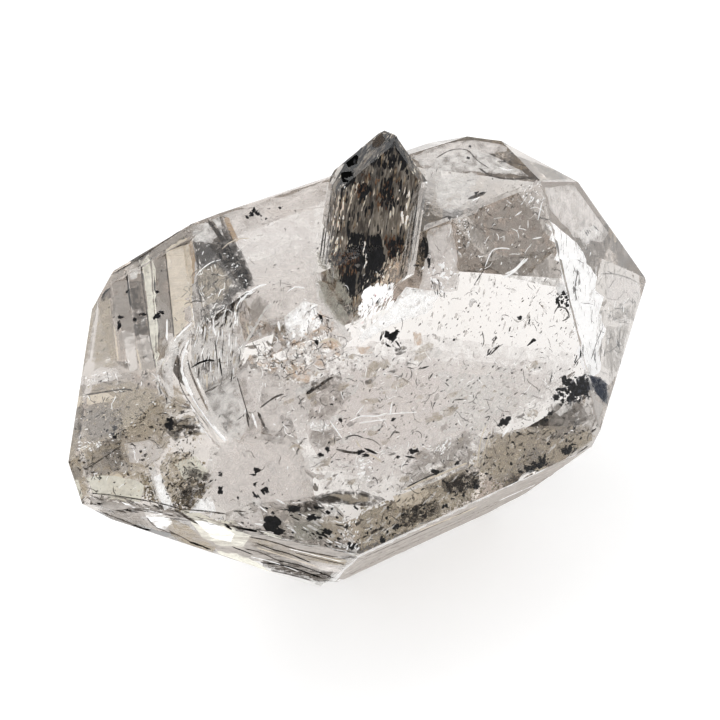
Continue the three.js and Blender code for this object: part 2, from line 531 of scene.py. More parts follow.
def crack_material():
    """A gap of air in quartz: a mirror at a slant, and clear head on."""
    crack = Shader("air_gap")
    fresnel = crack.node("ShaderNodeFresnel", IOR=1 / QUARTZ_IOR)
    clear = crack.node("ShaderNodeBsdfTransparent")
    mirror = crack.node("ShaderNodeBsdfGlossy", Roughness=0.03)
    both = crack.node("ShaderNodeMixShader")
    crack.link(fresnel.outputs["Fac"], both.inputs["Fac"])
    crack.link(clear.outputs["BSDF"], both.inputs[1])
    crack.link(mirror.outputs["BSDF"], both.inputs[2])
    crack.link(both.outputs["Shader"], crack.output.inputs["Surface"])
    fine = crack.cloud(crack.place((0.4, 0.4, 0.4)), detail=4.0)
    bump = crack.node("ShaderNodeBump", Strength=0.5, Distance=0.05 * MM)
    crack.link(fine, bump.inputs["Height"])
    crack.link(bump.outputs["Normal"], mirror.inputs["Normal"])
    return crack.material


def core_material():
    """The smoky crystal's inside: grey brown, streaked along its axis, paler towards its foot."""
    # The core's emission is a painted glow that lifts its light streaks
    core = Shader("smoky_core", Roughness=0.42, Emission_Strength=0.12)
    along = core.place((0.45, 0.45, 2.0), SMOKY_MIDDLE, SMOKY_TURN)
    fine = core.place((0.18, 0.18, 1.1), SMOKY_MIDDLE, SMOKY_TURN)
    broad = core.place((1.5, 1.5, 3.2), SMOKY_MIDDLE, SMOKY_TURN)
    streak = core.ramp(core.cloud(along, detail=6.0, roughness=0.7), [
        (0.40, (0.004, 0.003, 0.002)), (0.47, (0.055, 0.04, 0.028)),
        (0.53, (0.24, 0.195, 0.15)), (0.61, (0.70, 0.61, 0.50)),
    ])
    thread = core.ramp(core.cloud(fine, detail=5.0, roughness=0.75), [
        (0.42, (0.006, 0.004, 0.003)), (0.5, (0.16, 0.13, 0.10)), (0.58, (0.85, 0.77, 0.66)),
    ])
    patch = core.ramp(core.cloud(broad), [
        (0.38, (0.012, 0.008, 0.005)), (0.5, (0.12, 0.09, 0.065)), (0.62, (0.40, 0.34, 0.27)),
    ])
    both = core.mix(0.45, streak, thread)
    shade = core.mix(0.42, both, patch)
    core.link(shade, core.surface.inputs["Base Color"])
    core.link(shade, core.surface.inputs["Emission Color"])
    core.bump(core.cloud(fine, detail=4.0), strength=0.5, distance=0.08)
    return core.material


# The clear quartz itself

WELD = 0.002  # millimetres
FLAT_AREA = 1.2  # square millimetres that face one way make a flat face; a curve's strips are less
SHARP = math.radians(40)


def facing(face):
    """The way a face faces, rounded so that the parts of one flat face agree."""
    return tuple(round(part, 2) for part in face.normal)


def quartz_skin():
    """The model's own surface, welded, with the shell fracture's curves smooth."""
    shape = bmesh.new()
    shape.from_mesh(NODE.data)
    bmesh.ops.remove_doubles(shape, verts=shape.verts, dist=WELD * MM)
    areas = {}
    for face in shape.faces:
        face.smooth = True
        areas[facing(face)] = areas.get(facing(face), 0) + face.calc_area() / (MM * MM)
    flat = [areas[facing(face)] > FLAT_AREA for face in shape.faces]
    for edge in shape.edges:
        curved = not any(flat[face.index] for face in edge.link_faces)
        edge.smooth = curved and edge.calc_face_angle(math.pi) < SHARP
    mesh = bpy.data.meshes.new("quartz")
    shape.to_mesh(mesh)
    shape.free()
    mesh.materials.append(quartz_material())
    skin = bpy.data.objects.new("quartz", mesh)
    bpy.context.scene.collection.objects.link(skin)
    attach(skin, BODY)
    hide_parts("crystal_cluster")


# The smoky crystal's core

FLATTEST = 1e-6  # the least determinant of three faces that meet in a corner
TOUCHING = 1e-5  # millimetres
ONE_CORNER = 1e-4


def smoky_planes(sides, top, foot):
    """The smoky crystal's faces as (normal, distance) in its own axes, each drawn in a little."""
    planes = []
    for i in range(6):
        turn = math.radians(60 * i)
        faces = (
            (90, SMOKY_SIDES[i] - sides[i]), (END_LEAN, SMOKY_TOP[i] - top),
            (180 - END_LEAN, SMOKY_FOOT[i] - foot[i]),
        )
        for lean, distance in faces:
            lean = math.radians(lean)
            normal = Vector((
                -math.sin(lean) * math.sin(turn), -math.sin(lean) * math.cos(turn), math.cos(lean)
            ))
            planes.append((normal, distance))
    return planes


def crystal_hull(planes):
    """The solid within all planes: its corners are where three meet and none cuts them off."""
    hull = bmesh.new()
    for three in itertools.combinations(planes, 3):
        axes = Matrix([normal for normal, _ in three])
        if abs(axes.determinant()) < FLATTEST:
            continue
        corner = axes.inverted() @ Vector([distance for _, distance in three])
        if all(normal.dot(corner) < distance + TOUCHING for normal, distance in planes):
            hull.verts.new(corner)
    bmesh.ops.remove_doubles(hull, verts=hull.verts, dist=ONE_CORNER)
    found = bmesh.ops.convex_hull(hull, input=hull.verts)
    bmesh.ops.delete(hull, geom=found["geom_interior"], context="VERTS")
    return hull


CORE_VOXEL = 0.11  # millimetres
CORE_RELIEF = 0.16
RIDGES = (2.2, 2.2, 0.28)  # for each millimetre across and along the crystal
RIDGE_CONTRAST = 1.6


def smoky_core_mesh():
    """The core, a fine mesh with ridges and furrows along the crystal's axis."""
    hull = crystal_hull(smoky_planes(CORE_SIDES, CORE_TOP, CORE_FOOT))
    rough = bpy.data.meshes.new("smoky_hull")
    hull.to_mesh(rough)
    hull.free()
    draft = bpy.data.objects.new("smoky_draft", rough)
    bpy.context.scene.collection.objects.link(draft)
    remesh = draft.modifiers.new("even", "REMESH")
    remesh.mode = "VOXEL"
    remesh.voxel_size = CORE_VOXEL
    bpy.context.view_layer.update()
    shown = draft.evaluated_get(bpy.context.evaluated_depsgraph_get())
    mesh = bpy.data.meshes.new_from_object(shown)
    bpy.data.objects.remove(draft)
    for vertex in mesh.vertices:
        ridge = noise.fractal(vertex.co * Vector(RIDGES), 1.0, 2.0, 4) * RIDGE_CONTRAST
        vertex.co -= vertex.normal * CORE_RELIEF * (0.5 + 0.5 * max(-1, min(1, ridge)))
    mesh.transform(SMOKY_PLACE @ Matrix.Scale(MM, 4))
    return mesh


CORE_MESH = smoky_core_mesh()
CORE = tree_of(CORE_MESH)
UNDER_FACE = 0.08  # millimetres


def smoky_shell():
    """The smoky crystal's own faces, also where they are grown into the clear one."""
    hull = crystal_hull(smoky_planes([UNDER_FACE] * 6, UNDER_FACE, [UNDER_FACE] * 6))
    hull.transform(SMOKY_PLACE @ Matrix.Scale(MM, 4))
    shell = BVHTree.FromBMesh(hull)
    hull.free()
    return shell


SHELL = smoky_shell()


def on_shell(x, y):
    """Where the view through a pixel meets the smoky crystal's face, or None."""
    start = entry(x, y)
    place = start and SHELL.ray_cast(*start)[0]
    return place if place and within(place, UNDER_FACE / 2) else None


def within(point, margin):
    """Whether a point lies in the quartz, at least this many millimetres under its surface."""
    place, normal, _, distance = SKIN.find_nearest(point)
    return distance > margin * MM and (point - place).dot(normal) < 0


def surface_points(rng, mesh, count):
    """Random places on a mesh, evenly by area, with their normals."""
    faces = list(mesh.polygons)
    picked = rng.choices(faces, weights=[face.area for face in faces], k=count)
    for face in picked:
        corners = [mesh.vertices[i].co for i in face.vertices[:3]]
        a, b = sorted((rng.random(), rng.random()))
        yield corners[0] * a + corners[1] * (b - a) + corners[2] * (1 - b), face.normal.copy()


# The core's needles, in millimetres
CORE_NEEDLES = 2100
NEEDLE_SHARES = (8, 4, 4)  # dark, tan and light
NEEDLE_LEAN = 0.16
NEEDLE_RISE = (0.0, 0.1)
NEEDLE_LENGTH = (0.2, 1.4)
NEEDLE_WIDTH = (0.03, 0.2)
NEEDLE_COVER = 0.06  # the least quartz over its ends

# Outlines in the picture, in pixels, and how many slivers lie in each
SMOKY_BLACK = [
    ([(351, 237), (364, 235), (366, 262), (362, 270), (352, 264)], 100),
    ([(367, 239), (380, 237), (387, 260), (385, 272), (374, 288), (364, 292), (368, 262)], 190),
    ([(344, 277), (356, 275), (355, 292), (346, 292)], 60),
    ([(360, 278), (370, 280), (368, 292), (362, 294)], 24),
    ([(389, 243), (408, 240), (405, 253), (392, 256)], 34),
    ([(379, 183), (396, 180), (394, 200), (381, 205)], 26),
    ([(341, 171), (354, 169), (354, 182), (342, 183)], 60),
    ([(343, 158), (360, 152), (360, 166), (345, 169)], 60),
    ([(378, 134), (396, 132), (398, 150), (380, 148)], 34),
    ([(352, 148), (372, 138), (400, 140), (408, 164), (352, 170)], 70),
    ([(400, 150), (405, 152), (408, 172), (402, 168)], 14),
    ([(360, 184), (372, 184), (371, 199), (361, 199)], 14),
    ([(334, 250), (348, 252), (350, 270), (338, 268)], 14),
]
SMOKY_RUST = [
    ([(386, 236), (410, 240), (409, 264), (390, 266)], 70),
    ([(376, 180), (398, 180), (396, 206), (378, 210)], 24),
    ([(350, 252), (360, 250), (360, 272), (350, 270)], 16),
    ([(332, 250), (350, 252), (350, 274), (336, 274)], 30),
    ([(354, 168), (372, 168), (372, 200), (356, 200)], 22),
]
SMOKY_PALE = [
    ([(386, 260), (410, 258), (408, 280), (388, 290), (374, 286)], 80),
    ([(366, 290), (396, 284), (398, 300), (380, 318), (362, 326), (360, 304)], 90),
    ([(398, 190), (412, 190), (410, 226), (398, 226)], 14),
    ([(334, 206), (346, 200), (344, 240), (332, 244)], 12),
    ([(363, 238), (367, 238), (368, 268), (364, 268)], 10),
]


def slivers(parts, rng, outlines, rise, tilt, turn, lengths, widths, thick):
    """Slivers a little above the core, along the crystal's axis. Sizes in millimetres."""
    for outline, count in outlines:
        for x, y in pixels_in(rng, outline, count):
            spot = on_core(x, y)
            if spot:
                place, normal = spot
                flake(parts, rng, place + normal * rise * MM, near(rng, normal, tilt),
                      near(rng, SMOKY_AXIS, turn), rng.uniform(*lengths), rng.uniform(*widths), thick)


def smoky_core():
    """The core itself, and what lies on it: threads, black masses, rust and pale slivers."""
    finished(CORE_MESH, "smoky_core", core_material(), smooth=True)
    rng = random.Random(7)
    dark, tan, light, rust, glowing_white = (Parts() for _ in range(5))
    for place, normal in surface_points(rng, CORE_MESH, CORE_NEEDLES):
        which = rng.choices((dark, tan, light), weights=NEEDLE_SHARES)[0]
        along = near(rng, SMOKY_AXIS, NEEDLE_LEAN)
        middle = place + normal * rng.uniform(*NEEDLE_RISE) * MM
        length, width = rng.uniform(*NEEDLE_LENGTH), rng.uniform(*NEEDLE_WIDTH)
        half = along * length / 2 * MM
        if within(middle - half, NEEDLE_COVER) and within(middle + half, NEEDLE_COVER):
            needle(which, rng, middle, along, length, width)
    slivers(dark, rng, SMOKY_BLACK, rise=0.05, tilt=0.3, turn=0.12, lengths=(0.4, 1.2),
            widths=(0.12, 0.3), thick=0.12)
    slivers(rust, rng, SMOKY_RUST, rise=0.07, tilt=0.3, turn=0.3, lengths=(0.2, 0.7),
            widths=(0.08, 0.2), thick=0.08)
    slivers(glowing_white, rng, SMOKY_PALE, rise=0.06, tilt=0.25, turn=0.25, lengths=(0.2, 0.9),
            widths=(0.06, 0.2), thick=0.06)
    dark.piece("smoky_black", carbon_material())
    tan.piece("smoky_threads", grain_material("tan_threads", [
        (0.06, 0.035, 0.02), (0.26, 0.18, 0.11), (0.50, 0.39, 0.27)], size=0.4, glow=0.15))
    light.piece("smoky_light_threads", grain_material("light_threads", [
        (0.42, 0.35, 0.27), (0.95, 0.87, 0.74)], size=0.4, glow=0.4))
    rust.piece("smoky_rust", grain_material("rust", [
        (0.02, 0.008, 0.004), (0.12, 0.05, 0.02), (0.36, 0.19, 0.09)], size=0.3))
    glowing_white.piece("smoky_pale", grain_material("pale_slivers", [
        (0.78, 0.66, 0.55), (1.0, 0.97, 0.93)], size=0.5, glow=0.5))


# Black flecks in the clear crystal: pixel, length and width in pixels, slant in degrees, and how
# large a cluster of slivers it is. Some lie half sunk into its faces, the others just under them.
LOWER_FLECKS = [
    (568, 382, 9, 7, 20, 4), (561, 389, 10, 4, 10, 3), (558, 397, 9, 5, -20, 3),
    (575, 388, 10, 9, 50, 6), (582, 381, 9, 8, 0, 5), (585, 388, 11, 10, 90, 7),
    (579, 394, 9, 6, 0, 4), (572, 397, 8, 6, 60, 4), (551, 414, 9, 3, 45, 3),
    (547, 419, 5, 3, 70, 2), (506, 421, 11, 6, 40, 4), (502, 425, 7, 3, 0, 2),
    (543, 460, 12, 4, 65, 4), (540, 466, 8, 4, 30, 3), (534, 466, 8, 5, 60, 3),
    (527, 469, 7, 5, 20, 3), (521, 472, 6, 3, 0, 3), (568, 450, 10, 7, -40, 5),
    (567, 440, 5, 3, 80, 2), (477, 486, 7, 5, 0, 3), (464, 496, 5, 4, 0, 2),
    (455, 492, 5, 3, 20, 2), (436, 472, 8, 5, -20, 4), (458, 463, 6, 3, 40, 3),
    (273, 524, 13, 12, 60, 9), (282, 531, 12, 5, -20, 4), (295, 508, 12, 5, 10, 4),
    (314, 518, 13, 4, 15, 4), (329, 532, 9, 5, -10, 3), (353, 546, 9, 6, -25, 4),
    (347, 527, 5, 3, 40, 2), (266, 491, 9, 4, -50, 3), (258, 470, 6, 5, 60, 3),
    (254, 475, 6, 2, 10, 2), (255, 484, 5, 3, 90, 2), (257, 496, 11, 2, -35, 2),
    (222, 474, 4, 4, 0, 2), (221, 490, 8, 4, 80, 3), (239, 498, 4, 2, -60, 1),
    (328, 450, 8, 3, 60, 2), (322, 455, 6, 3, 10, 2), (361, 452, 9, 4, 10, 3),
    (367, 455, 8, 3, -25, 2), (415, 451, 10, 4, -8, 3), (399, 457, 4, 2, 0, 1),
    (395, 419, 5, 3, 50, 2), (341, 420, 4, 4, 0, 2), (383, 539, 8, 4, 50, 3),
    (397, 526, 6, 5, 0, 3), (356, 508, 8, 2, -30, 2),
]
SURFACE_FLECKS = [
    (248, 217, 4, 3, 20, 2), (252, 214, 6, 3, 60, 2), (256, 211, 7, 3, 60, 2),
    (259, 214, 4, 3, 60, 1), (262, 216, 2, 2, 0, 1), (267, 219, 2, 2, 0, 1),
    (281, 208, 3, 2, 0, 1), (120, 325, 10, 3, 80, 3), (121, 317, 6, 3, 20, 2),
    (143, 314, 9, 2, 15, 3), (136, 320, 4, 3, 0, 1), (159, 317, 8, 4, 60, 3),
    (162, 312, 5, 3, 0, 2), (158, 292, 4, 3, 30, 1), (128, 292, 3, 2, 0, 1),
]
OTHER_FLECKS = [
    (513, 373, 3, 2, 0, 1), (455, 340, 3, 2, 0, 1), (392, 338, 12, 5, 30, 4),
    (388, 334, 6, 4, 80, 3), (398, 332, 7, 3, 60, 2), (318, 342, 8, 3, -60, 2),
    (426, 252, 12, 4, 70, 2), (424, 243, 8, 3, 70, 2), (430, 262, 9, 3, 80, 3),
    (416, 265, 5, 2, 0, 1), (478, 193, 5, 2, 30, 2), (471, 146, 3, 3, 0, 1),
    (469, 158, 3, 3, 0, 1), (619, 343, 12, 2, 88, 2), (595, 356, 14, 3, 85, 3),
    (602, 350, 12, 2, 85, 2), (583, 350, 16, 2, 80, 2), (577, 362, 12, 2, 75, 2),
    (589, 232, 9, 2, -45, 2), (588, 248, 3, 3, 0, 1), (552, 378, 12, 1, 60, 1),
    (535, 341, 6, 4, 40, 2), (496, 340, 9, 2, 50, 2), (490, 352, 9, 2, 45, 2),
    (497, 348, 12, 2, 48, 2), (522, 318, 7, 3, -20, 2), (530, 322, 6, 2, 60, 2),
    (105, 417, 3, 2, 0, 1), (108, 431, 3, 3, 0, 2), (116, 428, 5, 4, 80, 3),
    (114, 434, 4, 3, 0, 2), (170, 424, 10, 6, 80, 5),
]
FLECK_THICK = 0.14  # millimetres
FLECK_DEPTHS = (0.45, 0.7)
FLECK_TILT = 0.3
FLECK_TURN = 0.4
FLECK_LENGTHS = (0.8, 1.3)
FLECK_WIDTHS = (0.9, 1.7)
SLIVERS_EACH = 2.2  # for each one that the list counts
# A sliver's size and how far it lies off the fleck's middle, both by the fleck's size
SINGLE = (1.2, 0.0)
CLUSTERED = (0.8, 0.32)


def add_fleck(black, rng, fleck, on_surface):
    """A single black sliver, or a cluster of them."""
    x, y, length, width, slant, count = fleck
    turn = math.radians(slant)
    share, shift = SINGLE if count == 1 else CLUSTERED
    for _ in range(round(count * SLIVERS_EACH)):
        pixel = (
            x + rng.uniform(-shift, shift) * length * math.cos(turn)
            + rng.uniform(-shift, shift) * width * math.sin(turn),
            y - rng.uniform(-shift, shift) * length * math.sin(turn)
            + rng.uniform(-shift, shift) * width * math.cos(turn),
        )
        depth = rng.uniform(*FLECK_DEPTHS)
        point = stained(*pixel) if on_surface else inside(*pixel, depth)
        if point:
            flake(black, rng, point, near(rng, BACK, FLECK_TILT),
                  near(rng, slanted(turn), FLECK_TURN),
                  length * share * PIXEL / MM * rng.uniform(*FLECK_LENGTHS),
                  width * share * PIXEL / MM * rng.uniform(*FLECK_WIDTHS), FLECK_THICK, TORN_RIM)


def black_flecks():
    rng = random.Random(11)
    black = Parts()
    for flecks in (LOWER_FLECKS, SURFACE_FLECKS, OTHER_FLECKS):
        for fleck in flecks:
            add_fleck(black, rng, fleck, flecks is SURFACE_FLECKS)
    black.piece("black_flecks", carbon_material())


# Where small things lie in the clear crystal: an outline, how many, least and most depth, and least
# and most size in millimetres
WHOLE_FRONT = [
    (205, 235), (330, 180), (440, 160), (540, 180), (640, 275), (600, 430), (480, 500), (340, 585),
    (100, 510), (80, 470), (105, 300),
]
MOTTLED = [
    (173, 459), (198, 456), (214, 471), (216, 481), (206, 492), (193, 514), (176, 510), (168, 482),
]
SPECKS = [
    (WHOLE_FRONT, 900, 0.5, 14, 0.03, 0.10),
    ([(330, 350), (590, 350), (590, 470), (460, 500), (330, 560), (250, 520), (330, 430)], 500,
     0.5, 9, 0.04, 0.14),
    ([(440, 400), (590, 400), (590, 440), (480, 500), (400, 540), (360, 540)], 520,
     0.4, 5, 0.04, 0.13),
    (MOTTLED, 90, 1.0, 2.2, 0.06, 0.2),
    ([(105, 395), (150, 390), (170, 430), (120, 440)], 70, 0.5, 1.6, 0.04, 0.13),
    ([(143, 476), (158, 476), (158, 500), (146, 500)], 30, 0.8, 1.6, 0.06, 0.16),
    ([(250, 530), (345, 525), (352, 560), (330, 580)], 160, 0.4, 3, 0.04, 0.14),
]


def specks():
    rng = random.Random(23)
    tiny = Parts()
    for outline, count, shallow, deep, least, most in SPECKS:
        for x, y in pixels_in(rng, outline, count):
            point = inside(x, y, rng.uniform(shallow, deep))
            if point:
                size = mostly_small(rng, least, most, 3)
                grain(tiny, rng, point, size, rng.choice((1, 1, 1.6, 3)))
    tiny.piece("specks", carbon_material())


# Clay and mica grains, which make the mottled patches, in the same order
TAN_GRAINS = [
    (MOTTLED, 340, 1.3, 2.6, 0.1, 0.42),
    ([(143, 476), (158, 476), (160, 502), (146, 500)], 110, 1.0, 2.0, 0.1, 0.3),
    ([(98, 400), (150, 388), (168, 425), (130, 440), (112, 440)], 110, 0.8, 2.0, 0.1, 0.3),
    ([(360, 505), (395, 500), (480, 480), (470, 505), (400, 545), (362, 552)], 900, 0.5, 3.2,
     0.08, 0.3),
    ([(400, 500), (480, 470), (590, 425), (592, 440), (480, 500), (400, 543)], 800, 0.5, 3.5,
     0.08, 0.28),
    ([(275, 360), (312, 352), (318, 380), (285, 388)], 90, 3.0, 4.5, 0.1, 0.3),
]


def tan_grains():
    rng = random.Random(31)
    clay = Parts()
    for outline, count, shallow, deep, least, most in TAN_GRAINS:
        for x, y in pixels_in(rng, outline, count):
            point = inside(x, y, rng.uniform(shallow, deep))
            if point:
                grain(clay, rng, point, mostly_small(rng, least, most), 1.3)
    clay.piece("clay_grains", grain_material("clay", [
        (0.16, 0.13, 0.09), (0.50, 0.43, 0.32), (0.78, 0.70, 0.56), (0.95, 0.90, 0.78)], size=0.35))


# Small fractures: outline, how many, least and most depth and size in millimetres
FINE_CRACKS = [
    (WHOLE_FRONT, 420, 0.5, 12, 0.2, 1.4),
    ([(195, 236), (225, 225), (255, 300), (300, 330), (280, 380), (200, 390), (180, 330)], 260,
     0.4, 6, 0.3, 1.8),
    ([(270, 300), (345, 290), (390, 340), (350, 400), (280, 380)], 200, 0.6, 6, 0.2, 1.1),
    ([(330, 380), (590, 380), (590, 440), (470, 500), (340, 540), (250, 470)], 300,
     0.5, 9, 0.2, 1.6),
    ([(460, 215), (545, 190), (562, 285), (455, 262)], 60, 0.4, 5, 0.2, 1.3),
    ([(565, 280), (600, 230), (640, 280), (625, 370), (590, 380)], 110, 0.4, 5, 0.2, 1.6),
]
CRACK_THICK = 0.025
CRACK_TILT = 0.45
CRACK_WIDTHS = (0.25, 0.8)  # by the length
# The ways that the fractures face, and how often
CRACK_WAYS = [
    (Vector((0.2, -0.5, 0.85)), 3), (Vector((0.85, -0.4, 0.35)), 2), (Vector((-0.6, -0.6, 0.5)), 2),
    (Vector((0.0, 0.9, 0.4)), 2),
]


def fine_cracks():
    rng = random.Random(41)
    gaps = Parts()
    ways = [way for way, _ in CRACK_WAYS]
    weights = [weight for _, weight in CRACK_WAYS]
    for outline, count, shallow, deep, least, most in FINE_CRACKS:
        for x, y in pixels_in(rng, outline, count):
            size = mostly_small(rng, least, most, 2.5)
            point = inside(x, y, rng.uniform(shallow, deep), margin=size * 0.6)
            if point:
                normal = near(rng, rng.choices(ways, weights=weights)[0].normalized(), CRACK_TILT)
                along = normal.cross(any_way(rng)).normalized()
                flake(gaps, rng, point, normal, along, size, size * rng.uniform(*CRACK_WIDTHS),
                      CRACK_THICK, CRACK_RIM)
    gaps.piece("fine_cracks", crack_material())


# Films, lines and flakes in the quartz, by kind: its colour, least and most cover, the size of its
# cloudy pattern in millimetres, and how much it glows, a painted glow for light scattered in the quartz
KINDS = {
    "haze": ((0.82, 0.78, 0.76), 0.0, 0.3, 0.8, 0.35),
    "blush": ((0.72, 0.685, 0.66), 0.15, 0.62, 0.8, 0.45),
    "pale": ((0.74, 0.72, 0.70), 0.1, 0.6, 0.5, 0.45),
    # This kind is painted highlights: bright films, lines and flakes that glow, standing in for glints and
    # bright reflections off cracks and faces
    "glowing_white": ((0.98, 0.975, 0.97), 0.65, 1.0, 0.4, 0.5),
    "ivory": ((0.80, 0.78, 0.70), 0.45, 0.85, 0.8, 0.45),
    "cream": ((0.70, 0.63, 0.53), 0.5, 0.85, 0.8, 0.45),
    "peach": ((0.66, 0.53, 0.42), 0.05, 0.45, 0.5, 0.45),
    "gold": ((0.50, 0.36, 0.22), 0.3, 0.7, 0.6, 0.3),
    "sand": ((0.50, 0.44, 0.355), 0.05, 0.5, 0.4, 0.4),
    "tan": ((0.60, 0.53, 0.43), 0.1, 0.7, 0.25, 0.3),
    "grey": ((0.43, 0.395, 0.36), 0.0, 0.45, 0.5, 0.3),
    "smoke": ((0.14, 0.115, 0.095), 0.0, 0.55, 0.4, 0.0),
    "umber": ((0.08, 0.063, 0.05), 0.4, 0.95, 0.3, 0.0),
    "dark": ((0.003, 0.003, 0.003), 1.0, 1.0, 0.3, 0.0),
    "frost": ((0.96, 0.955, 0.95), 0.1, 0.8, 0.35, 0.5),
    "veil": ((0.49, 0.455, 0.425), 0.45, 0.85, 0.7, 0.4),
    "green": ((0.47, 0.455, 0.40), 0.1, 0.55, 0.5, 0.35),
    "rose": ((0.80, 0.45, 0.50), 0.3, 0.9, 0.3, 0.3),
    "slate": ((0.09, 0.10, 0.13), 0.2, 0.75, 0.4, 0.0),
}

# Parts of the picture that the lists below name
LEFT_FACET = [(90, 498), (219, 521), (339, 550), (358, 557), (328, 582), (240, 556), (110, 514)]
FOOT_FACET = [(226, 523), (339, 550), (358, 557), (328, 582), (250, 559)]
RIGHT_FACET = [
    (360, 557), (480, 501), (588, 449), (589, 454), (560, 473), (520, 497), (450, 537), (380, 570),
    (336, 581),
]
FOOT_BAND = [
    (227, 513), (252, 503), (300, 500), (330, 500), (352, 520), (356, 560), (325, 587), (264, 561),
    (224, 540),
]
LEFT_RIM = [
    (86, 496), (140, 503), (190, 512), (230, 533), (226, 550), (190, 545), (140, 525), (100, 508),
]
RIGHT_RIM = [
    (352, 582), (362, 558), (430, 530), (480, 506), (560, 466), (596, 446), (590, 454), (520, 500),
    (450, 541), (380, 573),
]
CRINKLED = [
    (248, 362), (300, 325), (315, 300), (330, 318), (345, 345), (335, 365), (310, 378), (262, 368),
]
MIDDLE = [
    (300, 345), (345, 352), (430, 345), (500, 362), (575, 366), (575, 395), (500, 430), (460, 470),
    (390, 490), (330, 480), (290, 440), (270, 400),
]
BOTTOM = [
    (391, 504), (465, 469), (489, 433), (592, 424), (597, 435), (563, 460), (479, 483), (425, 524),
    (360, 548), (347, 523),
]
RIGHT_CARBON = [
    (564, 386), (574, 378), (590, 374), (600, 384), (608, 397), (610, 410), (603, 405), (597, 394),
    (590, 400), (576, 403), (562, 406), (554, 400), (560, 390),
]
BOWL = [(192, 328), (238, 305), (244, 345), (236, 376), (205, 390), (194, 372)]
FRACTURED = [
    (196, 244), (218, 240), (226, 264), (252, 288), (244, 304), (236, 326), (204, 330), (197, 290),
]
TRAPEZOID = [(511, 197), (538, 187), (547, 205), (563, 290), (505, 278), (462, 256), (456, 222)]
LEFT_END = [
    (82, 380), (130, 372), (172, 395), (200, 425), (208, 450), (160, 460), (150, 500), (88, 492),
    (76, 460),
]
TAN_PATCH = [
    (160, 467), (168, 452), (190, 452), (203, 463), (205, 471), (199, 481), (186, 501), (169, 501),
]
RIGHT_BAND = [(575, 235), (600, 225), (643, 283), (620, 370), (600, 430), (590, 380), (585, 270)]
WHITE_BAND = [(558, 228), (584, 250), (598, 280), (604, 330), (600, 372), (590, 372), (572, 310)]
BRIGHT = [(463, 261), (505, 284), (566, 295), (578, 345), (500, 345), (412, 325), (428, 295)]
FOOT_GREEN = [(317, 262), (332, 268), (350, 296), (358, 318), (355, 343), (344, 330), (328, 304)]
FOOT_LIGHT = [(366, 290), (386, 284), (398, 286), (396, 302), (380, 320), (360, 334), (358, 316)]
SMOKY_RIGHT = [(416, 186), (428, 184), (416, 276), (400, 282)]
STRIPE = [(105, 292), (111, 300), (115, 330), (120, 366), (90, 369), (93, 332), (98, 305)]
TRAPEZOID_LEFT = [(456, 222), (470, 215), (472, 246), (460, 250)]

